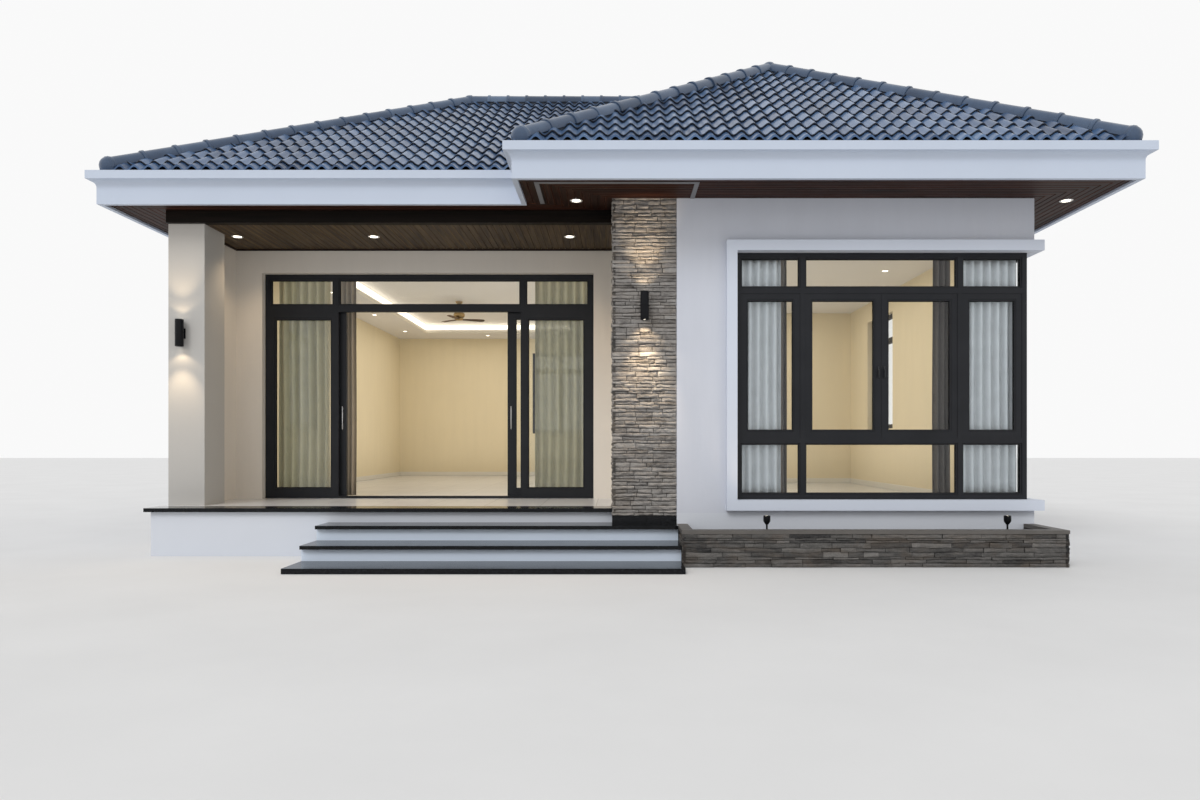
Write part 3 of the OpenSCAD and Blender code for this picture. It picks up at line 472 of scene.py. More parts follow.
@dataclass(frozen=True)
class Slab(Finish):
    """Sawn stone or fine concrete."""

    colour: Colour
    roughness: float = 0.7

    def make(self, graph: Graph) -> Material:
        """Build the material.

        Args:
            graph: An empty node tree.

        Returns:
            The material.
        """
        place = graph.coords()
        cloud = graph.noise(place, 4.0, 7.0, 0.65)
        grit = graph.noise(place, 150.0, 4.0, 0.7)
        value = graph.weigh((cloud, 0.6), (grit, 0.4))
        colour = graph.ramp(value, (0.32, scaled(self.colour, 0.68)), (0.64, self.colour))
        return graph.shade(
            Base_Color=colour, Roughness=self.roughness,
            Normal=graph.bump(grit, 0.0012, 0.6))


@dataclass(frozen=True)
class CoatedMetal(Finish):
    """Powder-coated or brushed metal."""

    colour: Colour
    metallic: float = 0.0
    roughness: float = 0.38
    specular: float = 0.5
    brushed: bool = False

    def make(self, graph: Graph) -> Material:
        """Build the material.

        Args:
            graph: An empty node tree.

        Returns:
            The material.
        """
        scale = (1.0, 1.0, 0.02) if self.brushed else (1.0, 1.0, 1.0)
        fine = graph.noise(graph.coords(scale), 900.0 if self.brushed else 520.0, 2.0, 0.6)
        cloud = graph.noise(graph.coords(), 3.5, 4.0)
        dull = graph.maths("MULTIPLY_ADD", cloud, 0.16, self.roughness - 0.08)
        pale = tuple(min(1.0, c * 1.25 + 0.004) for c in self.colour)
        colour = graph.ramp(cloud, (0.3, self.colour), (0.75, pale))
        return graph.shade(
            Base_Color=colour, Metallic=self.metallic, Roughness=dull,
            Specular_IOR_Level=self.specular, Normal=graph.bump(fine, 0.0002, 0.5))


@dataclass(frozen=True)
class Timber(Finish):
    """Stained boards with grain along one axis."""

    dark: Colour
    light: Colour
    axis: Axis = Axis.X
    roughness: float = 0.5
    coat: float = 0.0
    specular: float = 0.25

    def make(self, graph: Graph) -> Material:
        """Build the material.

        Args:
            graph: An empty node tree.

        Returns:
            The material.
        """
        scale = [9.0, 9.0, 9.0]
        scale[self.axis.value] = 0.45
        tone = graph.attribute("tone")
        offset = graph.add("ShaderNodeCombineXYZ", {
            0: graph.maths("MULTIPLY", tone, 37.0), 1: graph.maths("MULTIPLY", tone, 23.0)})
        shift = graph.add("ShaderNodeVectorMath", {
            0: graph.coords(scale), 1: offset.outputs[0]}, operation="ADD").outputs[0]
        figure = graph.noise(shift, 2.4, 7.0, 0.6, 1.1)
        pores = graph.noise(shift, 22.0, 4.0, 0.75)
        value = graph.weigh((pores, 0.22), (tone, 0.3), (figure, 0.6))
        colour = graph.ramp(value, (0.32, self.dark), (0.82, self.light))
        dull = graph.maths("MULTIPLY_ADD", pores, 0.18, self.roughness - 0.06)
        return graph.shade(
            Base_Color=colour, Roughness=dull, Coat_Weight=self.coat, Coat_Roughness=0.25,
            Specular_IOR_Level=self.specular, Normal=graph.bump(pores, 0.0006, 0.5))


@dataclass(frozen=True)
class GlazedTile(Finish):
    """Slate-blue glazed clay, tinted tile by tile, with a near-black first stop that paints shade
    on the tiles' noses.
    """

    # nose: the near-black stop that the tiles' nose faces take, as painted shade.
    nose: Colour = (0.003, 0.007, 0.018)
    deep: Colour = (0.020, 0.047, 0.108)
    mid: Colour = (0.056, 0.117, 0.238)
    bright: Colour = (0.140, 0.230, 0.385)
    gloss: float = 0.25

    def make(self, graph: Graph) -> Material:
        """Build the material.

        Args:
            graph: An empty node tree.

        Returns:
            The material.
        """
        place = graph.coords()
        cloud = graph.noise(place, 6.0, 6.0, 0.6)
        grain = graph.noise(place, 80.0, 5.0, 0.65)
        value = graph.weigh((grain, 0.18), (cloud, 0.3), (graph.attribute("tone"), 0.55))
        colour = graph.ramp(value, (0.1, self.nose), (0.26, self.deep), (0.5, self.mid),
                            (0.82, self.bright))
        dull = graph.maths("MULTIPLY_ADD", grain, 0.22, 0.2)
        return graph.shade(
            Base_Color=colour, Roughness=dull, Specular_IOR_Level=0.35,
            Coat_Weight=self.gloss, Coat_Roughness=0.12,
            Normal=graph.bump(grain, 0.0012, 0.35))


@dataclass(frozen=True)
class Cloth(Finish):
    """Woven curtain cloth, with painted shade in the hollows of its pleats."""

    colour: Colour
    opacity: float = 1.0
    weave: float = 900.0

    def make(self, graph: Graph) -> Material:
        """Build the material.

        Args:
            graph: An empty node tree.

        Returns:
            The material.
        """
        place = graph.coords()
        warp = graph.add("ShaderNodeTexWave", {
            "Vector": place, "Scale": self.weave / 6.0, "Distortion": 0.4,
            "Detail": 1.0}, bands_direction="Z").outputs["Fac"]
        fibre = graph.noise(graph.coords((1.0, 1.0, 0.05)), self.weave, 2.0, 0.6)
        cloud = graph.noise(place, 7.0, 4.0)
        value = graph.weigh((cloud, 0.6), (fibre, 0.4))
        colour = graph.ramp(value, (0.3, scaled(self.colour, 0.86)), (0.65, self.colour))
        knit = graph.maths("MULTIPLY", warp, fibre)
        # Painted shade: the cloth is darkened where the fold value marks a pleat's hollow.
        depth = graph.maths("MULTIPLY_ADD", graph.attribute("fold"), 0.40, 0.60)
        colour = graph.dim(colour, depth)
        return graph.shade(
            Base_Color=colour, Roughness=0.9, Alpha=self.opacity, Sheen_Weight=0.25,
            Normal=graph.bump(knit, 0.0005, 0.5))


@dataclass(frozen=True)
class Glass(Finish):
    """Clear window glass."""

    tint: Colour = (0.975, 0.988, 0.985)
    ior: float = 1.3

    def make(self, graph: Graph) -> Material:
        """Build the material.

        Args:
            graph: An empty node tree.

        Returns:
            The material.
        """
        ripple = graph.noise(graph.coords(), 1.1, 2.0, 0.4)
        return graph.shade(
            Base_Color=self.tint, Roughness=0.0, IOR=self.ior, Transmission_Weight=1.0,
            Normal=graph.bump(ripple, 0.0006, 0.15))


@dataclass(frozen=True)
class Glow(Finish):
    """A lit lens or light strip."""

    colour: Colour = (1.0, 0.78, 0.48)
    strength: float = 3.0

    def make(self, graph: Graph) -> Material:
        """Build the material.

        Args:
            graph: An empty node tree.

        Returns:
            The material.
        """
        frost = graph.noise(graph.coords(), 160.0, 3.0, 0.6)
        pale = tuple(0.5 + 0.5 * c for c in self.colour)
        colour = graph.ramp(frost, (0.3, self.colour), (0.8, pale))
        return graph.shade(
            Base_Color=colour, Roughness=0.5, Emission_Color=colour,
            Emission_Strength=self.strength)


class Shape:
    """A piece's mesh in the making, with a tone value on each face."""

    def __init__(self) -> None:
        """Start an empty mesh."""
        self.bm = bmesh.new()
        self.bm.faces.layers.float.new("tone")

    def paint(self, faces: Iterable[Face], tone: float) -> None:
        """Give faces their tone.

        Args:
            faces: The faces.
            tone: Value from 0 to 1.
        """
        layer = self.bm.faces.layers.float["tone"]
        for face in faces:
            face[layer] = tone

    def box(self, low: Point, high: Point, bevel: float = 0.0, tone: float = 0.5,
            matrix: Matrix | None = None, segments: int = 1) -> list[Vert]:
        """Add a box.

        Args:
            low: Its lowest corner.
            high: Its highest corner.
            bevel: Width of its bevelled edges.
            tone: Tone of its faces.
            matrix: Turn and place of the box.
            segments: Steps of the bevel.

        Returns:
            The box's vertices.
        """
        low, high = Vector(low), Vector(high)
        place = Matrix.Translation((low + high) / 2) @ Matrix.Diagonal((*(high - low), 1.0))
        made = bmesh.ops.create_cube(self.bm, size=1.0, matrix=place)["verts"]
        edges = list({e for v in made for e in v.link_edges})
        faces = {f for v in made for f in v.link_faces}
        if bevel > 0:
            new = bmesh.ops.bevel(
                self.bm, geom=edges, offset=bevel, offset_type="OFFSET", segments=segments,
                profile=0.5, affect="EDGES", clamp_overlap=True, material=-1)
            faces = {f for f in new["faces"] if f.is_valid} | {f for f in faces if f.is_valid}
        self.paint(faces, tone)
        verts = list({v for f in faces for v in f.verts})
        if matrix is not None:
            bmesh.ops.transform(self.bm, matrix=matrix, verts=verts)
        return verts

    def turned(self, profile: Sequence[tuple[float, float]], centre: Point, axis: Point = UP,
               steps: int = 32, tone: float = 0.5) -> None:
        """Add a solid of revolution.

        Args:
            profile: Radius and height of each point, from one end to the other.
            centre: Point of the axis that the heights start from.
            axis: Direction of the axis.
            steps: Steps of a full turn.
            tone: Tone of its faces.
        """
        turn = Vector(axis).normalized().to_track_quat("Z", "Y").to_matrix().to_4x4()
        place = Matrix.Translation(centre) @ turn
        verts = [self.bm.verts.new(place @ Vector((r, 0.0, z))) for r, z in profile]
        edges = [self.bm.edges.new(pair) for pair in zip(verts, verts[1:])]
        before = set(self.bm.faces)
        bmesh.ops.spin(self.bm, geom=verts + edges, cent=Vector(centre), axis=Vector(axis),
                       dvec=(0.0, 0.0, 0.0), angle=math.tau, steps=steps, use_merge=True)
        faces = [f for f in self.bm.faces if f not in before]
        ring = list({v for f in faces for v in f.verts})
        bmesh.ops.remove_doubles(self.bm, verts=ring, dist=1e-6)
        faces = [f for f in self.bm.faces if f not in before]
        bmesh.ops.recalc_face_normals(self.bm, faces=faces)
        self.paint(faces, tone)

    def ring(self, low: Point, high: Point, thin: int, width: float, bevel: float,
             segments: int = 1) -> None:
        """Add a four-sided rim inside a box's outline.

        Args:
            low: Lowest corner of the box.
            high: Highest corner of the box.
            thin: Number of the axis that the rim goes round.
            width: Width of the rim's sides.
            bevel: Width of their bevelled edges.
            segments: Steps of the bevel.
        """
        u, v = (axis for axis in range(3) if axis != thin)
        for near, far, start, end in (
                (low[u], low[u] + width, low[v], high[v]),
                (high[u] - width, high[u], low[v], high[v]),
                (low[u] + width, high[u] - width, low[v], low[v] + width),
                (low[u] + width, high[u] - width, high[v] - width, high[v])):
            a, b = Vector(low), Vector(high)
            a[u], b[u] = near, far
            a[v], b[v] = start, end
            self.box(a, b, bevel, segments=segments)

    def thicken(self, verts: Sequence[Vert], step: Point) -> list[Vert]:
        """Turn a sheet into a slab, by a copy of it to one side and walls between them.

        Args:
            verts: The sheet's vertices.
            step: Way from the sheet to its copy.

        Returns:
            The copy's vertices.
        """
        faces = list({f for v in verts for f in v.link_faces})
        made = bmesh.ops.extrude_face_region(self.bm, geom=faces)["geom"]
        copied = [g for g in made if isinstance(g, Vert)]
        bmesh.ops.translate(self.bm, verts=copied, vec=step)
        return copied

    def cut(self, point: Point, normal: Point) -> None:
        """Cut away everything on one side of a plane and close the cuts.

        Args:
            point: A point on the plane.
            normal: Direction of the side that goes.
        """
        geom = self.bm.verts[:] + self.bm.edges[:] + self.bm.faces[:]
        made = bmesh.ops.bisect_plane(
            self.bm, geom=geom, dist=1e-6, plane_co=Vector(point), plane_no=Vector(normal),
            clear_outer=True)["geom_cut"]
        rims = [e for e in made if isinstance(e, bmesh.types.BMEdge) and e.is_boundary]
        if rims:
            layer = self.bm.faces.layers.float["tone"]
            for face in bmesh.ops.holes_fill(self.bm, edges=rims, sides=0)["faces"]:
                beside = [f for e in face.edges for f in e.link_faces if f != face]
                if beside:
                    face[layer] = beside[0][layer]

    def absorb(self, other: "Shape") -> None:
        """Add another shape's mesh to this one, and free the other.

        Args:
            other: The other shape.
        """
        mesh = bpy.data.meshes.new("part")
        other.bm.to_mesh(mesh)
        other.bm.free()
        self.bm.from_mesh(mesh)
        bpy.data.meshes.remove(mesh)

    def finish(self, name: str, finish: Finish, body: str = "root", slot: str | None = None,
               replaces: Iterable[str] = (), smooth: float = 0.0) -> bpy.types.Object:
        """Turn the shape into a piece of the house.

        Args:
            name: The piece's name.
            finish: Its finish.
            body: The body that it moves with.
            slot: The record's material slot; not used.
            replaces: Nodes that it stands for.
            smooth: Angle in degrees under which edges are shaded smooth.

        Returns:
            The piece.
        """
        mesh = bpy.data.meshes.new(name)
        self.bm.to_mesh(mesh)
        self.bm.free()
        if smooth:
            mesh.shade_smooth()
            mesh.set_sharp_from_angle(angle=math.radians(smooth))
        mesh.materials.append(finish.material())
        piece = bpy.data.objects.new(name, mesh)
        bpy.context.scene.collection.objects.link(piece)
        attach(piece, body)
        if replaces:
            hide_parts(*replaces)
        log.info("%s: %d faces", name, len(mesh.polygons))
        return piece


def blocks(*boxes: tuple[Point, Point]) -> Shape:
    """Make plain blocks.

    Args:
        *boxes: Low and high corner of each block.

    Returns:
        The shape that holds them.
    """
    shape = Shape()
    for low, high in boxes:
        shape.box(low, high)
    return shape


@dataclass(frozen=True)
class Space:
    """An upright box, such as the one that a solid takes up."""

    low: Vector
    high: Vector

    @property
    def size(self) -> Vector:
        """Lengths of its sides."""
        return self.high - self.low

    @property
    def middle(self) -> Vector:
        """Its centre."""
        return (self.low + self.high) / 2


def around(points: Iterable[Vector]) -> Space:
    """Give the space that just holds some points."""
    axes = list(zip(*points))
    return Space(Vector(min(axis) for axis in axes), Vector(max(axis) for axis in axes))


def space(node: str) -> Space:
    """Give the space that a node takes up at rest."""
    return Space(*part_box(node))


def islands(node: str) -> list[Space]:
    """Give the space of each separate solid of a node.

    Args:
        node: The node's name.

    Returns:
        The spaces, in order of place.
    """
    bm = bmesh.new()
    bm.from_mesh(NODES[node].data)
    bmesh.ops.remove_doubles(bm, verts=bm.verts[:], dist=1e-5)
    todo = set(bm.verts)
    found = []
    while todo:
        reach = [todo.pop()]
        solid = list(reach)
        while reach:
            beside = [e.other_vert(v) for v in reach for e in v.link_edges]
            reach = [v for v in set(beside) if v in todo]
            todo.difference_update(reach)
            solid.extend(reach)
        found.append(around(v.co for v in solid))
    bm.free()
    return sorted(found, key=lambda one: tuple(round(c, 3) for c in one.low))


def dress(finish: Finish, *nodes: str) -> None:
    """Give nodes of the model a finish.

    Args:
        finish: The finish.
        *nodes: Names of the nodes.
    """
    for node in nodes:
        for slot in NODES[node].material_slots:
            slot.material = finish.material()


def left_of(along: Vector) -> Vector:
    """Give the plan direction that is a quarter turn to the left of another."""
    return Vector((-along.y, along.x))


def local_frame(origin: Point, *axes: Point) -> Matrix:
    """Give the frame that has this origin and these three axes."""
    return Matrix.Translation(origin) @ Matrix(axes).transposed().to_4x4()


def varied(draw: random.Random, spread: float) -> float:
    """Draw a tone from 0 to 1, most often near the middle."""
    return min(1.0, max(0.0, draw.gauss(0.5, spread)))


@dataclass(frozen=True)
class Outline:
    """Plan lines of the house: a front wing, a main body and a rear wing."""

    left: float
    wing: float
    rear: float
    right: float
    front: float
    main: float
    main_back: float
    back: float

    @property
    def corners(self) -> list[Vector]:
        """Its corners, counterclockwise from the front wing's left."""
        return [Vector(p) for p in (
            (self.wing, self.front), (self.right, self.front), (self.right, self.main_back),
            (self.rear, self.main_back), (self.rear, self.back), (self.left, self.back),
            (self.left, self.main), (self.wing, self.main))]


@dataclass
class Plan:
    """Plan lines and levels of the house, taken from the nodes that hold them."""

    lip_out: float = 0.075
    wing_left_eave: float = 0.94
    main_setback: float = 0.82
    overhang: float = 0.69
    deck_edge: float = 0.02
    wing_pitch: float = math.radians(34.0)
    main_pitch: float = math.radians(32.0)
    fascia_t: float = 0.05
    wall_t: float = 0.2
    corner_in: float = 0.02
    porch_depth: float = 0.07
    room_depth: float = 0.08

    def __post_init__(self) -> None:
        """Read the lines of the eaves and walls and the levels."""
        fascia, pillar, soffit = space("fascia"), space("stone_pillar"), space("eave_soffit")
        rear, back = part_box("rear_side_wall")[1].x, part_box("back_wall")[1].y
        front = fascia.low.y + self.lip_out
        self.eave = Outline(
            fascia.low.x + self.lip_out, pillar.low.x - self.wing_left_eave,
            rear + self.overhang, fascia.high.x - self.lip_out, front,
            front + self.main_setback, back + self.overhang, fascia.high.y - self.lip_out)
        self.wall = Outline(
            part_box("left_wall")[0].x, pillar.low.x, rear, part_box("right_wall")[1].x,
            pillar.low.y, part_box("porch_beam")[0].y, back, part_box("rear_wall")[1].y)
        self.eave_z = fascia.high.z + self.deck_edge
        self.soffit_z, self.wall_top = soffit.low.z, soffit.high.z
        self.ceiling_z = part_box("room_ceiling")[0].z
        self.floor_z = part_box("room_floor")[1].z
        self.door_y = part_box("porch_wall_left")[0].y

    def roof_points(self) -> dict[str, Vector]:
        """Find the points where ridges, hips and valleys meet.

        Returns:
            The points, by name.
        """
        eave = self.eave
        steep, low = math.tan(self.wing_pitch), math.tan(self.main_pitch)
        wing_run = (eave.right - eave.wing) / 2
        main_run = (eave.main_back - eave.main) / 2
        rear_run = (eave.rear - eave.left) / 2
        x_apex, x_rear, y_ridge = eave.right - wing_run, eave.left + rear_run, eave.main + main_run
        points = {
            "apex": (x_apex, eave.front + wing_run, wing_run * steep),
            "wing_end": (x_apex, eave.main + wing_run * steep / low, wing_run * steep),
            "ridge_left": (eave.left + main_run, y_ridge, main_run * low),
            "ridge_right": (eave.right - main_run * low / steep, y_ridge, main_run * low),
            "rear_start": (x_rear, eave.main_back - rear_run, rear_run * low),
            "ridge_rear": (x_rear, eave.back - rear_run, rear_run * low)}
        return {name: Vector((x, y, self.eave_z + z)) for name, (x, y, z) in points.items()}

    def wall_paint(self) -> WallPaint:
        """Mix the walls' paint, whose colour changes within the walls of porch and rooms.

        Returns:
            The finish.
        """
        wall, half = self.wall, self.wall_t / 2
        porch = ((wall.left + self.wall_t - self.corner_in, wall.main),
                 (wall.wing + self.corner_in, self.door_y + self.porch_depth))
        living = ((wall.left + half, self.door_y + self.room_depth),
                  (wall.rear - half, wall.back - half))
        front = ((wall.wing + half, wall.front + half),
                 (wall.right - half, wall.main_back - half))
        # The outside colour is white paint with painted cool sky light, and the porch colour is
        # white paint with painted warm lamplight.
        return WallPaint("wall_paint", (0.62, 0.645, 0.715), (0.76, 0.71, 0.64),
                         (0.80, 0.705, 0.505), porch, (living, front))


@dataclass
class Slope:
    """One slope of the roof: its plan outline, with the eave first, and its pitch."""

    name: str
    outline: list[Vector]
    pitch: float
    eave_z: float
    valleys: tuple[int, ...] = ()

    def __post_init__(self) -> None:
        """Work out the slope's frame: along the eave, up the slope and out of it."""
        along = (self.outline[1] - self.outline[0]).normalized()
        self.inward = left_of(along)
        side = Vector((*along, 0.0))
        up = Vector((*(self.inward * math.cos(self.pitch)), math.sin(self.pitch)))
        self.frame = local_frame((*self.outline[0], self.eave_z), side, up, side.cross(up))

    def flat(self) -> list[Vector]:
        """Give the outline in the slope's frame, by place along and up the slope.

        Returns:
            Its corners.
        """
        back, rise = self.frame.inverted(), math.tan(self.pitch)
        depths = [(corner - self.outline[0]).dot(self.inward) for corner in self.outline]
        return [(back @ Vector((*corner, self.eave_z + depth * rise))).xy
                for corner, depth in zip(self.outline, depths)]


@dataclass
class TileRoof:
    """Interlocking glazed tiles, two waves wide, laid in courses on every slope."""

    plan: Plan
    wave: float = 0.15
    waves: int = 2
    wave_height: float = 0.046
    wave_steps: int = 8
    length: float = 0.36
    exposure: float = 0.29
    thickness: float = 0.02
    nose_lift: float = 0.028
    sink: float = 0.031
    first_nose: float = -0.12
    eave_cut: float = 0.02
    valley_gap: float = 0.035
    jitter: float = 0.0012
    twist: float = 0.003
    tone_spread: float = 0.17
    nose_shade_tone: float = -0.3
    nose_bevel: float = 0.3
    felt_t: float = 0.008
    felt_gap: float = 0.003
    finish: GlazedTile = GlazedTile("glazed_tile")
    felt: Slab = Slab("roof_felt", (0.014, 0.015, 0.018), 0.9)

    @property
    def width(self) -> float:
        """Width of one tile."""
        return self.wave * self.waves

    def tile(self) -> bpy.types.Mesh:
        """Make one tile, with its nose at the origin's edge and its tail up the slope.

        Returns:
            The tile's mesh.
        """
        shape = Shape()
        bmesh.ops.create_grid(
            shape.bm, x_segments=self.wave_steps * self.waves, y_segments=1, size=0.5)
        bmesh.ops.transform(shape.bm, verts=shape.bm.verts[:], matrix=Matrix.Diagonal(
            (self.width, self.length, 1.0, 1.0)) @ Matrix.Translation((0.5, 0.5, 0.0)))
        for vert in shape.bm.verts:
            crest = 0.5 - 0.5 * math.cos(math.tau * vert.co.x / self.wave)
            lift = self.nose_lift * (1.0 - vert.co.y / self.length)
            vert.co.z = self.wave_height * crest + lift
        bmesh.ops.solidify(shape.bm, geom=shape.bm.faces[:], thickness=self.thickness)
        bmesh.ops.recalc_face_normals(shape.bm, faces=shape.bm.faces[:])
        nose = [e for e in shape.bm.edges
                if all(abs(v.co.y) < 1e-5 for v in e.verts)
                and any(f.normal.z > 0.6 for f in e.link_faces)]
        bmesh.ops.bevel(shape.bm, geom=nose, offset=self.thickness * self.nose_bevel, segments=1,
                        profile=0.5, affect="EDGES", material=-1)
        low = min(v.co.z for v in shape.bm.verts)
        bmesh.ops.translate(shape.bm, verts=shape.bm.verts[:], vec=(0.0, 0.0, -low - self.sink))
        mesh = bpy.data.meshes.new("tile")
        shape.bm.to_mesh(mesh)
        shape.bm.free()
        return mesh

    def slopes(self) -> list[Slope]:
        """List every slope of the roof, counterclockwise from its eave.

        Returns:
            The slopes.
        """
        plan, eave = self.plan, self.plan.eave
        at = {name: point.xy for name, point in plan.roof_points().items()}
        e = eave.corners
        steep, low = plan.wing_pitch, plan.main_pitch
        start, apex = at["rear_start"], at["apex"]
        hip_foot = Vector((start.x, eave.main + (start.x - eave.left)))
        reach = (eave.right - apex.x) * math.tan(steep) / math.tan(low)
        hip_head = Vector((apex.x, eave.main_back - reach))
        table = (
            ("wing_front", [e[0], e[1], at["apex"]], steep, ()),
            ("wing_left", [e[7], e[0], at["apex"], at["wing_end"]], steep, (3,)),
            ("main_front", [e[6], e[7], at["wing_end"], at["ridge_right"], at["ridge_left"]],
             low, (1,)),
            ("right", [e[1], e[2], hip_head, at["apex"]], steep, ()),
            ("main_back", [e[2], e[3], at["rear_start"], at["ridge_left"], at["ridge_right"]],
             low, (1,)),
            ("rear_right", [e[3], e[4], at["ridge_rear"], at["rear_start"]], low, (3,)),
            ("rear_back", [e[4], e[5], at["ridge_rear"]], low, ()),
            ("left", [e[5], e[6], hip_foot, at["rear_start"], at["ridge_rear"]], low, ()),
        )
        return [Slope(name, outline, pitch, plan.eave_z, valleys)
                for name, outline, pitch, valleys in table]

    def lay(self, slope: Slope, tile: bpy.types.Mesh) -> Shape:
        """Lay the tiles of one slope and cut them at its edges.

        Args:
            slope: The slope.
            tile: One tile's mesh.

        Returns:
            The slope's tiles.
        """
        draw = random.Random(slope.name)
        shape = Shape()
        corners = slope.flat()
        place = slope.frame
        lines = list(zip(corners, corners[1:] + corners[:1]))
        right = max(c.x for c in corners)
        left = min(c.x for c in corners)
        top = max(c.y for c in corners)
        columns = range(int(left // self.width) - 1, int(right // self.width) + 1)
        rows = range(int((top - self.first_nose) // self.exposure) + 1)
        fronts = [face.normal.y < -0.5 for face in tile.polygons]
        for row in rows:
            for column in columns:
                low = Vector((column * self.width, self.first_nose + row * self.exposure))
                high = low + Vector((self.width, self.length))
                rim = [Vector((x, y)) for x in (low.x, high.x) for y in (low.y, high.y)]
                if any(all((b - a).cross(p - a) < 0 for p in rim) for a, b in lines):
                    continue
                tone = varied(draw, self.tone_spread)
                # Nose faces take a tone below the ramp's range: painted shade along each tile's
                # nose.
                tile.attributes["tone"].data.foreach_set(
                    "value", [self.nose_shade_tone if front else tone for front in fronts])
                shift = Vector((draw.gauss(0, self.jitter), draw.gauss(0, self.jitter * 2),
                                draw.gauss(0, self.jitter)))
                turn = Matrix.Rotation(draw.gauss(0, self.twist), 4, "Z")
                move = place @ Matrix.Translation(Vector((*low, 0.0)) + shift) @ turn
                tile.transform(move)
                shape.bm.from_mesh(tile)
                tile.transform(move.inverted())
        self.trim(slope, shape)
        return shape

    def trim(self, slope: Slope, shape: Shape) -> None:
        """Cut a slope's tiles along its eave, hips, ridges and valleys.

        Args:
            slope: The slope.
            shape: Its tiles.
        """
        for i, start in enumerate(slope.outline):
            end = slope.outline[(i + 1) % len(slope.outline)]
            outward = -left_of((end - start).normalized())
            inset = self.eave_cut if i == 0 else 0.0
            if i in slope.valleys:
                inset = self.valley_gap
            shape.cut((*(start - outward * inset), 0.0), (*outward, 0.0))

    def underlay(self) -> None:
        """Line the whole roof with felt, just under the lowest points of the tiles."""
        shape = Shape()
        for slope in self.slopes():
            place = slope.frame @ Matrix.Translation((0.0, 0.0, -self.sink - self.felt_gap))
            corners = [shape.bm.verts.new(place @ Vector((*p, 0.0))) for p in slope.flat()]
            shape.bm.faces.new(corners)
            shape.thicken(corners, place.to_3x3() @ Vector((0.0, 0.0, -self.felt_t)))
        bmesh.ops.recalc_face_normals(shape.bm, faces=shape.bm.faces[:])
        shape.finish("roof_underlay", self.felt, slot="roof_tile", replaces=["roof_shell"])

    def build(self) -> None:
        """Tile the whole roof."""
        self.underlay()
        tile = self.tile()
        for slope in self.slopes():
            self.lay(slope, tile).finish(
                f"tiles_{slope.name}", self.finish, slot="roof_tile",
                replaces=["roof_shell"], smooth=40.0)
        bpy.data.meshes.remove(tile)


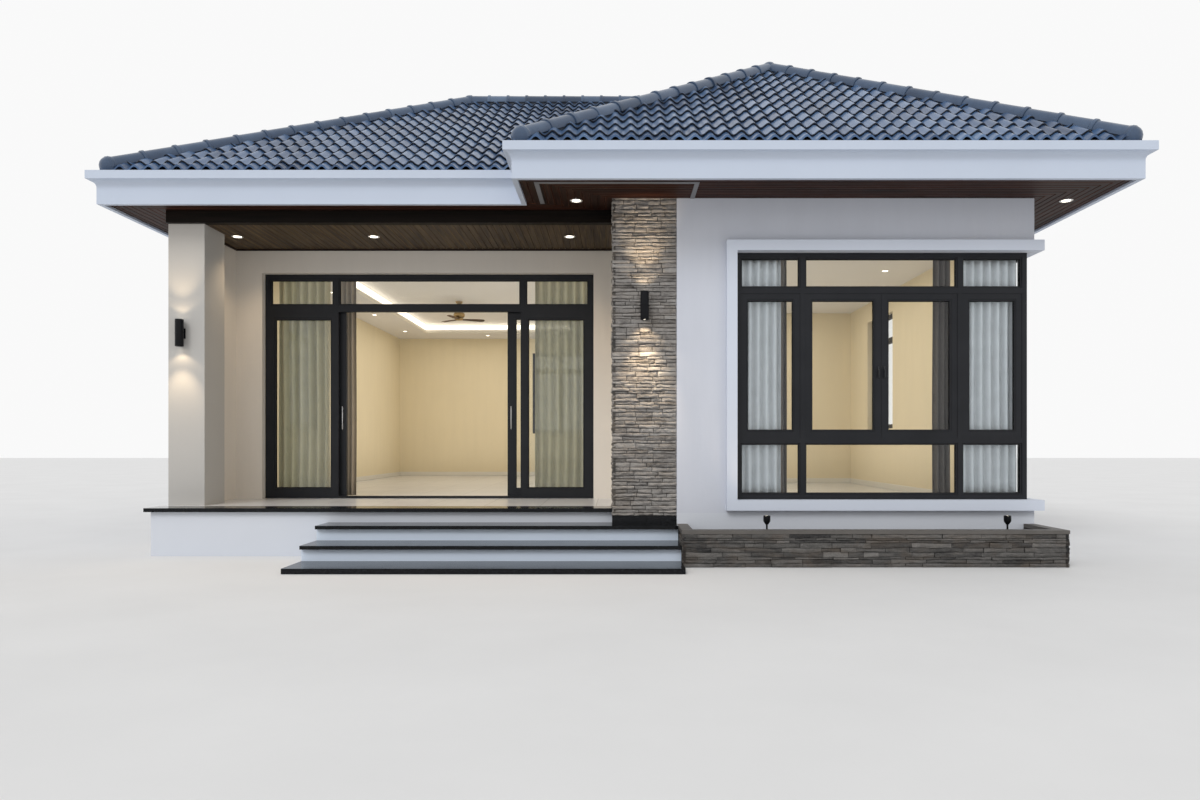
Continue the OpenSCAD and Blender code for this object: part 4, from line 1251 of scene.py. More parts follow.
@dataclass
class RoofCaps:
    """Half-round caps with raised collars along hips and ridges, bedded in mortar."""

    plan: Plan
    radius: float = 0.093
    collar: float = 0.104
    collar_length: float = 0.038
    thickness: float = 0.014
    hip_pitch: float = 0.345
    ridge_pitch: float = 0.262
    lift: float = 0.015
    hip_start: float = 0.115
    skirt: float = math.radians(12.0)
    steps: int = 14
    taper: float = 0.003
    overlap: float = 0.012
    wobble: float = 0.006
    tone_spread: float = 0.14
    mortar_w: float = 0.15
    mortar_low: float = 0.11
    mortar_high: float = 0.02
    mortar_bevel: float = 0.01
    dome_steps: int = 10
    dome_in: float = 0.02
    hip_dome_less: float = 0.002
    finish: GlazedTile = GlazedTile(
        "slate_cap", (0.008, 0.014, 0.026), (0.024, 0.042, 0.078), (0.052, 0.086, 0.150),
        (0.115, 0.170, 0.260), 0.3)
    mortar: Slab = Slab("slate_mortar", (0.055, 0.065, 0.085))

    def run_frame(self, start: Vector, end: Vector) -> Matrix:
        """Find the frame of a run: across it, along it and out of it.

        Args:
            start: Lower end of the run.
            end: Its other end.

        Returns:
            The frame.
        """
        along = (end - start).normalized()
        side = along.cross(UP).normalized()
        return local_frame(start + UP * self.lift, side, along, side.cross(along))

    def cap(self, shape: Shape, place: Matrix, low: float, high: float, tone: float) -> None:
        """Add one cap to a run.

        Args:
            shape: The shape that takes the cap.
            place: The run's frame.
            low: Distance of its lower end along the run.
            high: Distance of its upper end.
            tone: Its tone.
        """
        inner = self.radius - self.thickness
        lip = self.thickness * 0.35
        end = low + self.collar_length
        profile = ((inner, low), (self.collar - lip, low), (self.collar, low + lip),
                   (self.collar, end - lip), (self.collar - lip, end),
                   (self.radius, end + lip), (self.radius - self.taper, high), (inner, high))
        turn = Matrix.Rotation(self.skirt, 4, "Y")
        verts = [shape.bm.verts.new(turn @ Vector((r, y, 0.0))) for r, y in profile]
        face = shape.bm.faces.new(verts)
        before = set(shape.bm.faces)
        geom = verts + list(face.edges) + [face]
        bmesh.ops.spin(shape.bm, geom=geom, cent=(0.0, 0.0, 0.0), axis=(0.0, -1.0, 0.0),
                       angle=math.pi + 2 * self.skirt, steps=self.steps)
        made = [f for f in shape.bm.faces if f not in before] + [face]
        bmesh.ops.recalc_face_normals(shape.bm, faces=made)
        shape.paint(made, tone)
        bmesh.ops.transform(shape.bm, matrix=place, verts=list({v for f in made for v in f.verts}))

    def run(self, shape: Shape, bed: Shape, start: Vector, end: Vector, first: float,
            pitch: float, draw: random.Random) -> None:
        """Lay a run of caps on its mortar.

        Args:
            shape: The shape that takes the caps.
            bed: The shape that takes the mortar.
            start: Lower end of the hip, or one end of the ridge.
            end: The other end.
            first: Distance of the first cap from the start.
            pitch: Spacing of the caps.
            draw: The source of small differences.
        """
        place = self.run_frame(start, end)
        length = (end - start).length
        count = max(1, round((length - first) / pitch))
        step = (length - first) / count
        for i in range(count):
            low = first + i * step
            seat = Matrix.Translation((0.0, low, 0.0))
            turn = Matrix.Rotation(draw.gauss(0, self.wobble), 4, "Z")
            turned = place @ seat @ turn @ seat.inverted()
            self.cap(shape, turned if i < count - 1 else place, low,
                     low + step + self.overlap, varied(draw, self.tone_spread))
        bed.box((-self.mortar_w / 2, first, -self.mortar_low),
                (self.mortar_w / 2, length, self.mortar_high), self.mortar_bevel, matrix=place)

    def dome(self, shape: Shape, centre: Vector, radius: float) -> None:
        """Add a rounded piece where runs meet or end.

        Args:
            shape: The shape that takes it.
            centre: Its centre on the run.
            radius: Its radius.
        """
        turns = [math.pi * i / self.dome_steps for i in range(1, self.dome_steps)]
        arc = [(radius * math.sin(a), -radius * math.cos(a)) for a in turns]
        shape.turned([(0.0, -radius), *arc, (0.0, radius)], centre + UP * self.lift, UP, 24, 0.45)

    def build(self) -> None:
        """Cap every hip and ridge."""
        draw = random.Random(11)
        plan = self.plan
        at = plan.roof_points()
        e = [Vector((*p, plan.eave_z)) for p in plan.eave.corners]
        hips = ((e[0], at["apex"]), (e[1], at["apex"]), (e[6], at["ridge_left"]),
                (e[2], at["ridge_right"]), (e[5], at["ridge_rear"]), (e[4], at["ridge_rear"]))
        ridges = ((at["ridge_left"], at["ridge_right"]), (at["rear_start"], at["ridge_left"]),
                  (at["rear_start"], at["ridge_rear"]), (at["apex"], at["wing_end"]),
                  (at["wing_end"], at["ridge_right"]))
        hip_shape, ridge_shape, bed = Shape(), Shape(), Shape()
        for low, high in hips:
            self.run(hip_shape, bed, low, high, self.hip_start, self.hip_pitch, draw)
            corner = low + (high - low).normalized() * (self.hip_start + self.dome_in)
            self.dome(hip_shape, corner, self.collar - self.hip_dome_less)
        for low, high in ridges:
            self.run(ridge_shape, bed, low, high, 0.0, self.ridge_pitch, draw)
        for point in at.values():
            self.dome(ridge_shape, point, self.collar)
        for shape, name, node in ((hip_shape, "hip_cap_tiles", "hip_caps"),
                                  (ridge_shape, "ridge_cap_tiles", "ridge_caps")):
            shape.finish(name, self.finish, slot="roof_tile", replaces=[node], smooth=35.0)
        bed.finish("cap_mortar", self.mortar, slot="roof_tile")


@dataclass
class Soffit:
    """Narrow dark boards under the eaves, mitred at the corners, with metal inlay strips."""

    plan: Plan
    board_w: float = 0.075
    board_t: float = 0.016
    bevel: float = 0.004
    spare: float = 1.0
    groove: float = 0.006
    groove_shade_tone: float = -1.0
    strip_w: float = 0.045
    strip_edge: float = 0.001
    finish: Timber = Timber(
        "dark_boards", (0.010, 0.004, 0.003), (0.108, 0.036, 0.018), Axis.X, 0.5, 0.0, 0.14)
    cross: Timber = replace(finish, name="dark_boards_cross", axis=Axis.Y)
    metal: CoatedMetal = CoatedMetal("inlay_metal", (0.20, 0.205, 0.22), 0.3, 0.5)

    def side(self, i: int, draw: random.Random) -> Shape:
        """Lay the boards of one side of the eaves.

        Args:
            i: The side's first corner.
            draw: The source of the boards' tones.

        Returns:
            The side's boards.
        """
        plan = self.plan
        eaves, walls = plan.eave.corners, plan.wall.corners
        after = (i + 1) % len(eaves)
        start, end = eaves[i], eaves[after]
        along = (end - start).normalized()
        inward = left_of(along)
        depth = (walls[i] - start).dot(inward)
        place = local_frame((*start, plan.soffit_z), (*along, 0.0), (*inward, 0.0), UP)
        left, right = -self.spare, (end - start).length + self.spare
        boards = round((depth - plan.fascia_t) / self.board_w)
        width = (depth - plan.fascia_t) / boards
        shape = Shape()
        for k in range(boards):
            low = plan.fascia_t + k * width
            shape.box((left, low + self.groove / 2, 0.0),
                      (right, low + width - self.groove / 2, self.board_t),
                      self.bevel, draw.random(), place)
        # A near-black block behind the boards shows through the grooves: painted shade in the
        # grooves.
        shape.box((left, plan.fascia_t, self.board_t * 0.8),
                  (right, depth, plan.wall_top - plan.soffit_z), 0.0, self.groove_shade_tone, place)
        for corner, wall, sign in ((start, walls[i], 1.0), (end, walls[after], -1.0)):
            normal = left_of((wall - corner).normalized())
            if normal.dot(along) * sign > 0:
                normal = -normal
            shape.cut((*corner, 0.0), (*normal, 0.0))
        return shape

    def inlay(self) -> None:
        """Set the metal strips into the boards round the corner over the steps."""
        low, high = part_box("soffit_trim")
        front = low.y + self.strip_w
        strips = Shape()
        for a, b in (((low.x, low.y), (high.x, front)),
                     ((low.x, front), (low.x + self.strip_w, high.y)),
                     ((high.x - self.strip_w, front), (high.x, self.plan.wall.front))):
            strips.box((*a, low.z), (*b, high.z + self.strip_edge), self.strip_edge)
        strips.finish("soffit_inlay", self.metal, slot="brushed_metal",
                      replaces=["soffit_trim"])

    def build(self) -> None:
        """Board every side of the eaves and set the inlay."""
        draw = random.Random(3)
        lengthwise, crosswise = Shape(), Shape()
        for i in range(len(self.plan.eave.corners)):
            (crosswise if i % 2 else lengthwise).absorb(self.side(i, draw))
        for shape, name, finish in ((lengthwise, "soffit_boards", self.finish),
                                    (crosswise, "soffit_boards_sides", self.cross)):
            shape.finish(name, finish, slot="dark_timber", replaces=["eave_soffit"])
        self.inlay()


@dataclass
class PorchCeiling:
    """Boards over the porch, from the beam to the door wall, with a dark cornice."""

    board_w: float = 0.072
    board_t: float = 0.012
    bevel: float = 0.004
    groove: float = 0.006
    groove_shade_tone: float = -1.0
    cornice: float = 0.022
    cornice_bevel: float = 0.006
    cornice_tone: float = 0.3
    overlap: float = 0.001
    finish: Timber = Timber("porch_boards", (0.024, 0.014, 0.007), (0.275, 0.185, 0.095), Axis.Y)
    trim: Timber = Timber("cornice_stain", (0.014, 0.008, 0.006), (0.040, 0.022, 0.016), Axis.X)

    def build(self) -> None:
        """Board the ceiling."""
        low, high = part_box("porch_ceiling")
        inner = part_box("left_wall")[1].x
        column_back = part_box("left_column")[1].y
        draw = random.Random(5)
        count = round((high.x - low.x) / self.board_w)
        width = (high.x - low.x) / count
        top = low.z + self.board_t
        boards, edge = Shape(), Shape()
        for i in range(count):
            x = low.x + i * width
            back = high.y if x >= inner - width / 2 else column_back
            start = max(x, inner if back == high.y else x)
            boards.box((start + self.groove / 2, low.y, low.z),
                       (x + width - self.groove / 2, back, top), self.bevel, draw.random())
            # A near-black block behind the boards shows through the grooves: painted shade in the
            # grooves.
            boards.box((start, low.y, top), (x + width, back, high.z), 0.0, self.groove_shade_tone)
        boards.finish("porch_ceiling_boards", self.finish, slot="warm_timber",
                      replaces=["porch_ceiling"])
        size = self.cornice
        for a, b in (((inner, high.y - size), (high.x, high.y)),
                     ((inner, low.y), (inner + size, high.y - size))):
            edge.box((*a, low.z - size), (*b, low.z + self.overlap), self.cornice_bevel,
                     self.cornice_tone, segments=2)
        edge.finish("porch_cornice", self.trim, slot="dark_timber")


class Side(Enum):
    """An upright side of a block, by the directions along it and out of it."""

    FRONT = ((1.0, 0.0, 0.0), (0.0, -1.0, 0.0))
    LEFT = ((0.0, -1.0, 0.0), (-1.0, 0.0, 0.0))
    RIGHT = ((0.0, 1.0, 0.0), (1.0, 0.0, 0.0))


@dataclass
class StoneFace:
    """Courses of split stone laid on one side of a block, standing out of it by a little each."""

    block: Space
    side: Side
    course: tuple[float, float]
    stone: tuple[float, float]
    proud: tuple[float, float]
    grain: tuple[float, float]
    wave: float
    bed: float = 0.035
    cell: float = 0.022
    rows: int = 3
    rough: float = 0.008
    rim: float = 0.6
    joint: float = 0.003
    bend: float = 4.5
    spread: float = 0.24
    joint_shade_tone: float = -0.35
    seeds: float = 90.0

    def __post_init__(self) -> None:
        """Work out the face's width, its height and its frame, from a low corner."""
        along, outward = (Vector(axis) for axis in self.side.value)
        low, high = self.block.low, self.block.high
        self.width = abs(self.block.size.dot(along))
        self.height = high.z - low.z
        corner = (high.x if outward.x > 0 else low.x, high.y if along.y < 0 else low.y, low.z)
        self.place = local_frame(corner, along, outward, UP)

    def sway(self, x: float, z: float) -> float:
        """Give how far a bed joint wanders up or down.

        Args:
            x: Place along the face.
            z: Height of the joint's middle.

        Returns:
            The shift in metres, none at the face's top and bottom.
        """
        inside = self.joint < z < self.height - self.joint
        spot = Vector((x * self.bend, round(z, 4) * 730.0, 0.5))
        return noise.noise(spot) * self.wave * inside

    def stone_block(self, shape: Shape, low: Point, high: Point, out: float, tone: float,
                    seed: Vector) -> None:
        """Add one stone.

        Args:
            shape: The shape that takes it.
            low: Its low corner on the face.
            high: Its high corner on the face.
            out: How far its face stands out.
            tone: Its tone.
            seed: Shift of its rough pattern.
        """
        size = Vector((high[0] - low[0], high[1] - low[1]))
        across = max(2, round(size.x / self.cell))
        front = bmesh.ops.create_grid(
            shape.bm, x_segments=across, y_segments=self.rows, size=0.5)["verts"]
        shown = {f for v in front for f in v.link_faces}
        spread = Matrix(((size.x, 0, 0, (low[0] + high[0]) / 2), (0, 0, 1, 0),
                         (0, size.y, 0, (low[1] + high[1]) / 2), (0, 0, 0, 1)))
        bmesh.ops.transform(shape.bm, verts=front, matrix=spread)
        verts = front + shape.thicken(front, (0.0, -self.bed, 0.0))
        for vert in front:
            x, z = vert.co.x, vert.co.z
            grain = Vector((x * self.grain[0], 0.0, z * self.grain[1])) + seed
            edge = min(z - low[1], high[1] - z, x - low[0], high[0] - x) < 1e-4
            vert.co.y = out + noise.noise(grain) * self.rough - edge * self.rough * self.rim
        for vert in verts:
            share = (vert.co.z - low[1]) / size.y
            vert.co.z += ((1.0 - share) * self.sway(vert.co.x, low[1] - self.joint / 2)
                          + share * self.sway(vert.co.x, high[1] + self.joint / 2))
        faces = list({f for v in verts for f in v.link_faces})
        bmesh.ops.recalc_face_normals(shape.bm, faces=faces)
        # Every face of the stone but its front takes a dark tone: painted shade where the sides
        # show in the joints.
        shape.paint(faces, self.joint_shade_tone)
        shape.paint(shown, tone)
        bmesh.ops.transform(shape.bm, matrix=self.place, verts=verts)

    def lay(self, shape: Shape, draw: random.Random) -> None:
        """Lay the whole face.

        Args:
            shape: The shape that takes the stones.
            draw: The source of sizes and tones.
        """
        z, half = 0.0, self.joint / 2
        while z < self.height - 1e-6:
            rise = draw.uniform(*self.course)
            if self.height - z - rise < self.course[0]:
                rise = self.height - z
            x = 0.0
            while x < self.width - 1e-6:
                run = draw.uniform(*self.stone)
                if self.width - x - run < self.stone[0]:
                    run = self.width - x
                seed = Vector([draw.uniform(0, self.seeds) for _ in range(3)])
                self.stone_block(
                    shape, (x + half, z + half), (x + run - half, z + rise - half),
                    draw.uniform(*self.proud), varied(draw, self.spread), seed)
                x += run
            z += rise


@dataclass
class Stonework:
    """The split-stone pillar by the steps and the planter under the corner window."""

    wall_paint: Finish
    inset: float = 0.022
    plaster_t: float = 0.012
    planter_wall: float = 0.11
    smooth: float = 50.0
    pillar: SplitStone = SplitStone(
        "ledge_stone", (0.060, 0.057, 0.054), (0.270, 0.255, 0.242), (0.480, 0.462, 0.440),
        (0.330, 0.270, 0.205), 0.22, 0.014, 2.2)
    dark: SplitStone = SplitStone(
        "dark_stone", (0.022, 0.022, 0.023), (0.096, 0.092, 0.088), (0.230, 0.220, 0.208),
        (0.150, 0.108, 0.074), 0.3, 0.012, 4.5)
    # A near-black finish for the cores behind the stones, which show through the joints as painted
    # shade.
    joint: Slab = Slab("stone_joint_shade", (0.030, 0.027, 0.025), 0.95)
    soil: Slab = Slab("planter_bed", (0.10, 0.085, 0.07), 0.95)

    def stones(self, node: str, sides: Iterable[Side], seed: int, **coursing: object) -> Shape:
        """Lay split stones on the sides of a node that show.

        Args:
            node: The node.
            sides: The sides.
            seed: Seed of the random draws.
            **coursing: The sizes of the courses and stones.

        Returns:
            The stones.
        """
        draw = random.Random(seed)
        shape = Shape()
        for side in sides:
            StoneFace(space(node), side, **coursing).lay(shape, draw)
        return shape

    def build_pillar(self) -> None:
        """Face the pillar's front and left side, and plaster its room side."""
        low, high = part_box("stone_pillar")
        left, front = low.x + self.inset, low.y + self.inset
        right, back = high.x - self.plaster_t, high.y - self.plaster_t
        # The core takes the near-black joint finish: painted shade in the joints.
        core = blocks(((left, front, low.z), (right, back, high.z)))
        coat = blocks(((left, back, low.z), high), ((right, front, low.z), (high.x, back, high.z)))
        stones = self.stones(
            "stone_pillar", (Side.FRONT, Side.LEFT), 21, course=(0.026, 0.050),
            stone=(0.10, 0.28), proud=(-0.010, 0.008), grain=(30.0, 50.0), wave=0.009,
            cell=0.016, rows=4, rough=0.011, joint=0.004, spread=0.15)
        for shape, name, finish, slot, smooth in (
                (core, "pillar_core", self.joint, "ledge_stone", 0.0),
                (coat, "pillar_plaster", self.wall_paint, "white_render", 0.0),
                (stones, "pillar_stones", self.pillar, "ledge_stone", self.smooth)):
            shape.finish(name, finish, slot=slot, replaces=["stone_pillar"], smooth=smooth)

    def build_planter(self) -> None:
        """Face the planter and fill its walls."""
        low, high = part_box("planter")
        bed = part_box("planter_lights")[0].z
        left, right, front = low.x + self.inset, high.x - self.inset, low.y + self.inset
        in_left, in_right = low.x + self.planter_wall, high.x - self.planter_wall
        in_front = low.y + self.planter_wall
        # The core takes the near-black joint finish: painted shade in the joints.
        core = blocks(((left, front, low.z), (right, in_front, high.z)),
                      ((left, in_front, low.z), (in_left, high.y, high.z)),
                      ((in_right, in_front, low.z), (right, high.y, high.z)))
        floor = blocks(((in_left, in_front, low.z), (in_right, high.y, bed)))
        stones = self.stones(
            "planter", Side, 33, course=(0.020, 0.048), stone=(0.12, 0.40),
            proud=(-0.014, 0.003), grain=(20.0, 56.0), wave=0.008)
        for shape, name, finish, smooth in ((core, "planter_core", self.joint, 0.0),
                                            (floor, "planter_floor", self.soil, 0.0),
                                            (stones, "planter_stones", self.dark, self.smooth)):
            shape.finish(name, finish, slot="split_stone", replaces=["planter"], smooth=smooth)

    def build(self) -> None:
        """Build both."""
        self.build_pillar()
        self.build_planter()


@dataclass
class Curtain:
    """One gathered curtain, hung in even pleats inside its solid's space."""

    name: str
    solid: Space
    finish: Cloth
    pleat: float
    steps: int = 8
    rows: int = 14
    thickness: float = 0.0012

    def fold(self, along: float, up: float) -> float:
        """Give the cloth's offset from its middle plane, from -1 to 1.

        Args:
            along: Place along the curtain, in metres.
            up: Share of the height.

        Returns:
            The offset.
        """
        drift = noise.noise(Vector((along * 1.7, up * 1.3, len(self.name) * 3.1)))
        wave = math.sin(math.tau * along / self.pleat + drift * 2.2 * (1.0 - up * 0.6))
        size = 0.78 + 0.3 * noise.noise(Vector((along * 5.0, up * 2.0, 7.7)))
        return max(-0.95, min(0.95, wave * size))

    def build(self, replaced: str) -> None:
        """Hang the curtain.

        Args:
            replaced: The node that holds its solid.
        """
        low, size = self.solid.low, self.solid.size
        across = 0 if size.x > size.y else 1
        width, depth, height = size[across], size[1 - across], size.z
        columns = max(2, round(width / self.pleat)) * self.steps
        play = depth / 2 - self.thickness
        middle = (low[1 - across] + self.solid.high[1 - across]) / 2
        front = 1.0 if across else -1.0
        shape = Shape()
        bm = shape.bm
        bmesh.ops.create_grid(bm, x_segments=columns, y_segments=self.rows, size=0.5)
        layer = bm.verts.layers.float.new("fold")
        for vert in bm.verts:
            s, t = vert.co.x + 0.5, vert.co.y + 0.5
            offset = self.fold(s * width, t)
            vert.co.z = low.z + t * height
            vert.co[across] = low[across] + s * width
            vert.co[1 - across] = middle + play * offset
            # The stored fold value paints shade on the cloth: low where a pleat falls back from
            # the outside, high where it comes forward.
            vert[layer] = 0.5 + 0.5 * front * offset
        if across == 0:
            bmesh.ops.reverse_faces(bm, faces=bm.faces[:])
        piece = shape.finish(self.name, self.finish, slot="sheer_cloth", replaces=[replaced],
                             smooth=180.0)
        hem = piece.modifiers.new("hem", "SOLIDIFY")
        hem.thickness = self.thickness
        hem.offset = 0.0


@dataclass
class Curtains:
    """Sheers and drapes in the corner window and behind the door's fixed panels."""

    # The window sheer's faint blue is painted cool daylight, and the door sheer's yellow is
    # painted warm lamplight from the room behind it.
    sheer: Cloth = Cloth("sheer_cloth", (0.90, 0.94, 0.98), 0.90)
    warm: Cloth = Cloth("sheer_with_painted_lamplight", (0.90, 0.82, 0.54), 0.78)
    drape: Cloth = Cloth("grey_drape", (0.175, 0.156, 0.143))
    beige: Cloth = Cloth("beige_drape", (0.55, 0.45, 0.33))
    sheer_low: float = 0.55
    drape_w: float = 0.4

    def build(self) -> None:
        """Hang every curtain."""
        for place, cloths, pleats in (("window", (self.drape, self.sheer), (0.062, 0.088)),
                                      ("door", (self.beige, self.warm), (0.065, 0.105))):
            for i, solid in enumerate(islands(f"{place}_curtains")):
                over_sill, wide = solid.low.z > self.sheer_low, solid.size.x > self.drape_w
                thin = over_sill if place == "window" else wide
                Curtain(f"{place}_{'sheer' if thin else 'drape'}_{i}", solid, cloths[thin],
                        pleats[thin]).build(f"{place}_curtains")


@dataclass
class Lamps:
    """Wall lights, recessed lights, garden spots and their lit lenses."""

    flat_h: float = 0.01
    lip: float = 0.012
    lens_in: float = 0.012
    rim: float = 0.004
    seam: float = 0.003
    plate: Point = (0.034, 0.006, 0.055)
    arm: Point = (0.014, 0.6, 0.022)
    arm_bevel: float = 0.003
    head: float = 0.075
    smooth: float = 35.0
    body: CoatedMetal = CoatedMetal("lamp_metal", (0.005, 0.0055, 0.007), 0.0, 0.36, 0.14)
    ring: Paint = Paint("lamp_ring", (0.78, 0.77, 0.74), 0.4)
    glow: Glow = Glow("lit_lens", (1.0, 0.90, 0.70), 5.0)

    def wall_lamp(self, shape: Shape, lens: Shape, solid: Space) -> None:
        """Add one up-and-down wall light.

        Args:
            shape: The shape that takes its metal.
            lens: The shape that takes its lenses.
            solid: The space of its solid.
        """
        low, high, lip, seam = solid.low, solid.high, self.lip, self.seam
        r, tall = solid.size.x / 2, solid.size.z
        x, y, middle = solid.middle.x, low.y + r, solid.middle.z
        profile = [(r - lip, 0.010), (r - 0.008, 0.0), (r - self.rim / 2, 0.0), (r, self.rim)]
        wall = profile + [(r, tall / 2 - seam), (r - 0.002, tall / 2 - 0.001),
                          (r - 0.002, tall / 2 + 0.001), (r, tall / 2 + seam)]
        top = [(q, tall - z) for q, z in reversed(profile)]
        ring = [(r - lip, 0.03), *wall, *top, (r - lip, tall - 0.03)]
        shape.turned([(0.0, 0.03), *ring, (0.0, tall - 0.03)], (x, y, low.z), steps=36)
        for z in (self.lens_in, tall - self.lens_in):
            lens.turned([(0.0, z - 0.004), (r - 0.016, z - 0.004), (r - 0.013, z),
                         (r - 0.016, z + 0.004), (0.0, z + 0.004)], (x, y, low.z), steps=28)
        half_w, thick, half_h = self.plate
        shape.box((x - half_w, high.y - thick, middle - half_h),
                  (x + half_w, high.y, middle + half_h), self.arm_bevel, segments=2)
        arm_w, reach, arm_h = self.arm
        shape.box((x - arm_w, y + r * reach, middle - arm_h),
                  (x + arm_w, high.y - thick / 2, middle + arm_h), self.arm_bevel, segments=2)
        for side in (-1.0, 1.0):
            shape.turned([(0.0, -0.004), (0.006, -0.004), (0.007, 0.003), (0.005, 0.006),
                          (0.0, 0.006)], (x + side * r, y, middle), (side, 0.0, 0.0), 14)

    def recessed(self, shape: Shape, lens: Shape, solid: Space) -> None:
        """Add one recessed light under a ceiling.

        Args:
            shape: The shape that takes its ring.
            lens: The shape that takes its lens.
            solid: The space of its solid.
        """
        radius = solid.size.x / 2
        inner = radius * 0.72
        centre = (solid.middle.x, solid.middle.y, solid.low.z)
        shape.turned([(inner, 0.014), (inner, 0.002), (inner + 0.006, -0.003),
                      (radius - 0.006, -0.004), (radius, 0.0), (radius, 0.014),
                      (inner, 0.014)], centre)
        lens.turned([(0.0, -0.002), (inner * 0.9, -0.001), (inner + 0.001, 0.003),
                     (inner + 0.002, 0.014), (0.0, 0.014)], centre, steps=28)

    def flat(self, shape: Shape, lens: Shape, solid: Space) -> None:
        """Add one flat light under a room's ceiling.

        Args:
            shape: The shape that takes its ring.
            lens: The shape that takes its lens.
            solid: The space of its solid.
        """
        radius, tall = solid.size.x / 2, solid.size.z
        inner = radius * 0.74
        centre = (solid.middle.x, solid.middle.y, solid.low.z)
        shape.turned([(inner, tall), (inner, tall * 0.3), (inner + 0.003, 0.0),
                      (radius - 0.005, 0.0), (radius, tall * 0.6), (radius, tall),
                      (inner, tall)], centre, steps=28)
        lens.turned([(0.0, tall * 0.35), (inner - 0.001, tall * 0.5), (inner - 0.001, tall),
                     (0.0, tall)], centre, steps=24)

    def spot(self, shape: Shape, lens: Shape, solid: Space) -> None:
        """Add one garden spot on its stake.

        Args:
            shape: The shape that takes its metal.
            lens: The shape that takes its lens.
            solid: The space of its solid.
        """
        r, foot, top = solid.size.x / 2, solid.low.z, solid.high.z
        centre = (solid.middle.x, solid.middle.y, 0.0)
        head = top - self.head
        shape.turned([(0.0, foot), (0.009, foot), (0.009, head - 0.012), (0.016, head - 0.01),
                      (0.020, head), (r * 0.7, head + 0.004), (r, head + 0.02),
                      (r, top - 0.003), (r - 0.003, top), (r - 0.006, top),
                      (r - 0.007, top - 0.01), (0.0, top - 0.01)], centre, steps=24)
        lens.turned([(0.0, top - 0.009), (r - 0.008, top - 0.009), (r - 0.010, top - 0.004),
                     (0.0, top - 0.001)], centre, steps=20)

    def build(self) -> None:
        """Fit every lamp."""
        metal, lit, rings, spots, glint = (Shape() for _ in range(5))
        for solid in islands("wall_lights"):
            self.wall_lamp(metal, lit, solid)
        for solid in islands("downlights"):
            (self.flat if solid.size.z < self.flat_h else self.recessed)(rings, lit, solid)
        for solid in islands("planter_lights"):
            self.spot(spots, glint, solid)
        for shape, name, finish, slot, node in (
                (spots, "planter_spots", self.body, "lamp_metal", "planter_lights"),
                (glint, "planter_lenses", self.glow, "lamp_lens", "planter_lights"),
                (metal, "wall_lamps", self.body, "lamp_metal", "wall_lights"),
                (rings, "recessed_rings", self.ring, "lamp_lens", "downlights"),
                (lit, "lit_lenses", self.glow, "lamp_lens", "downlights")):
            shape.finish(name, finish, slot=slot, replaces=[node], smooth=self.smooth)


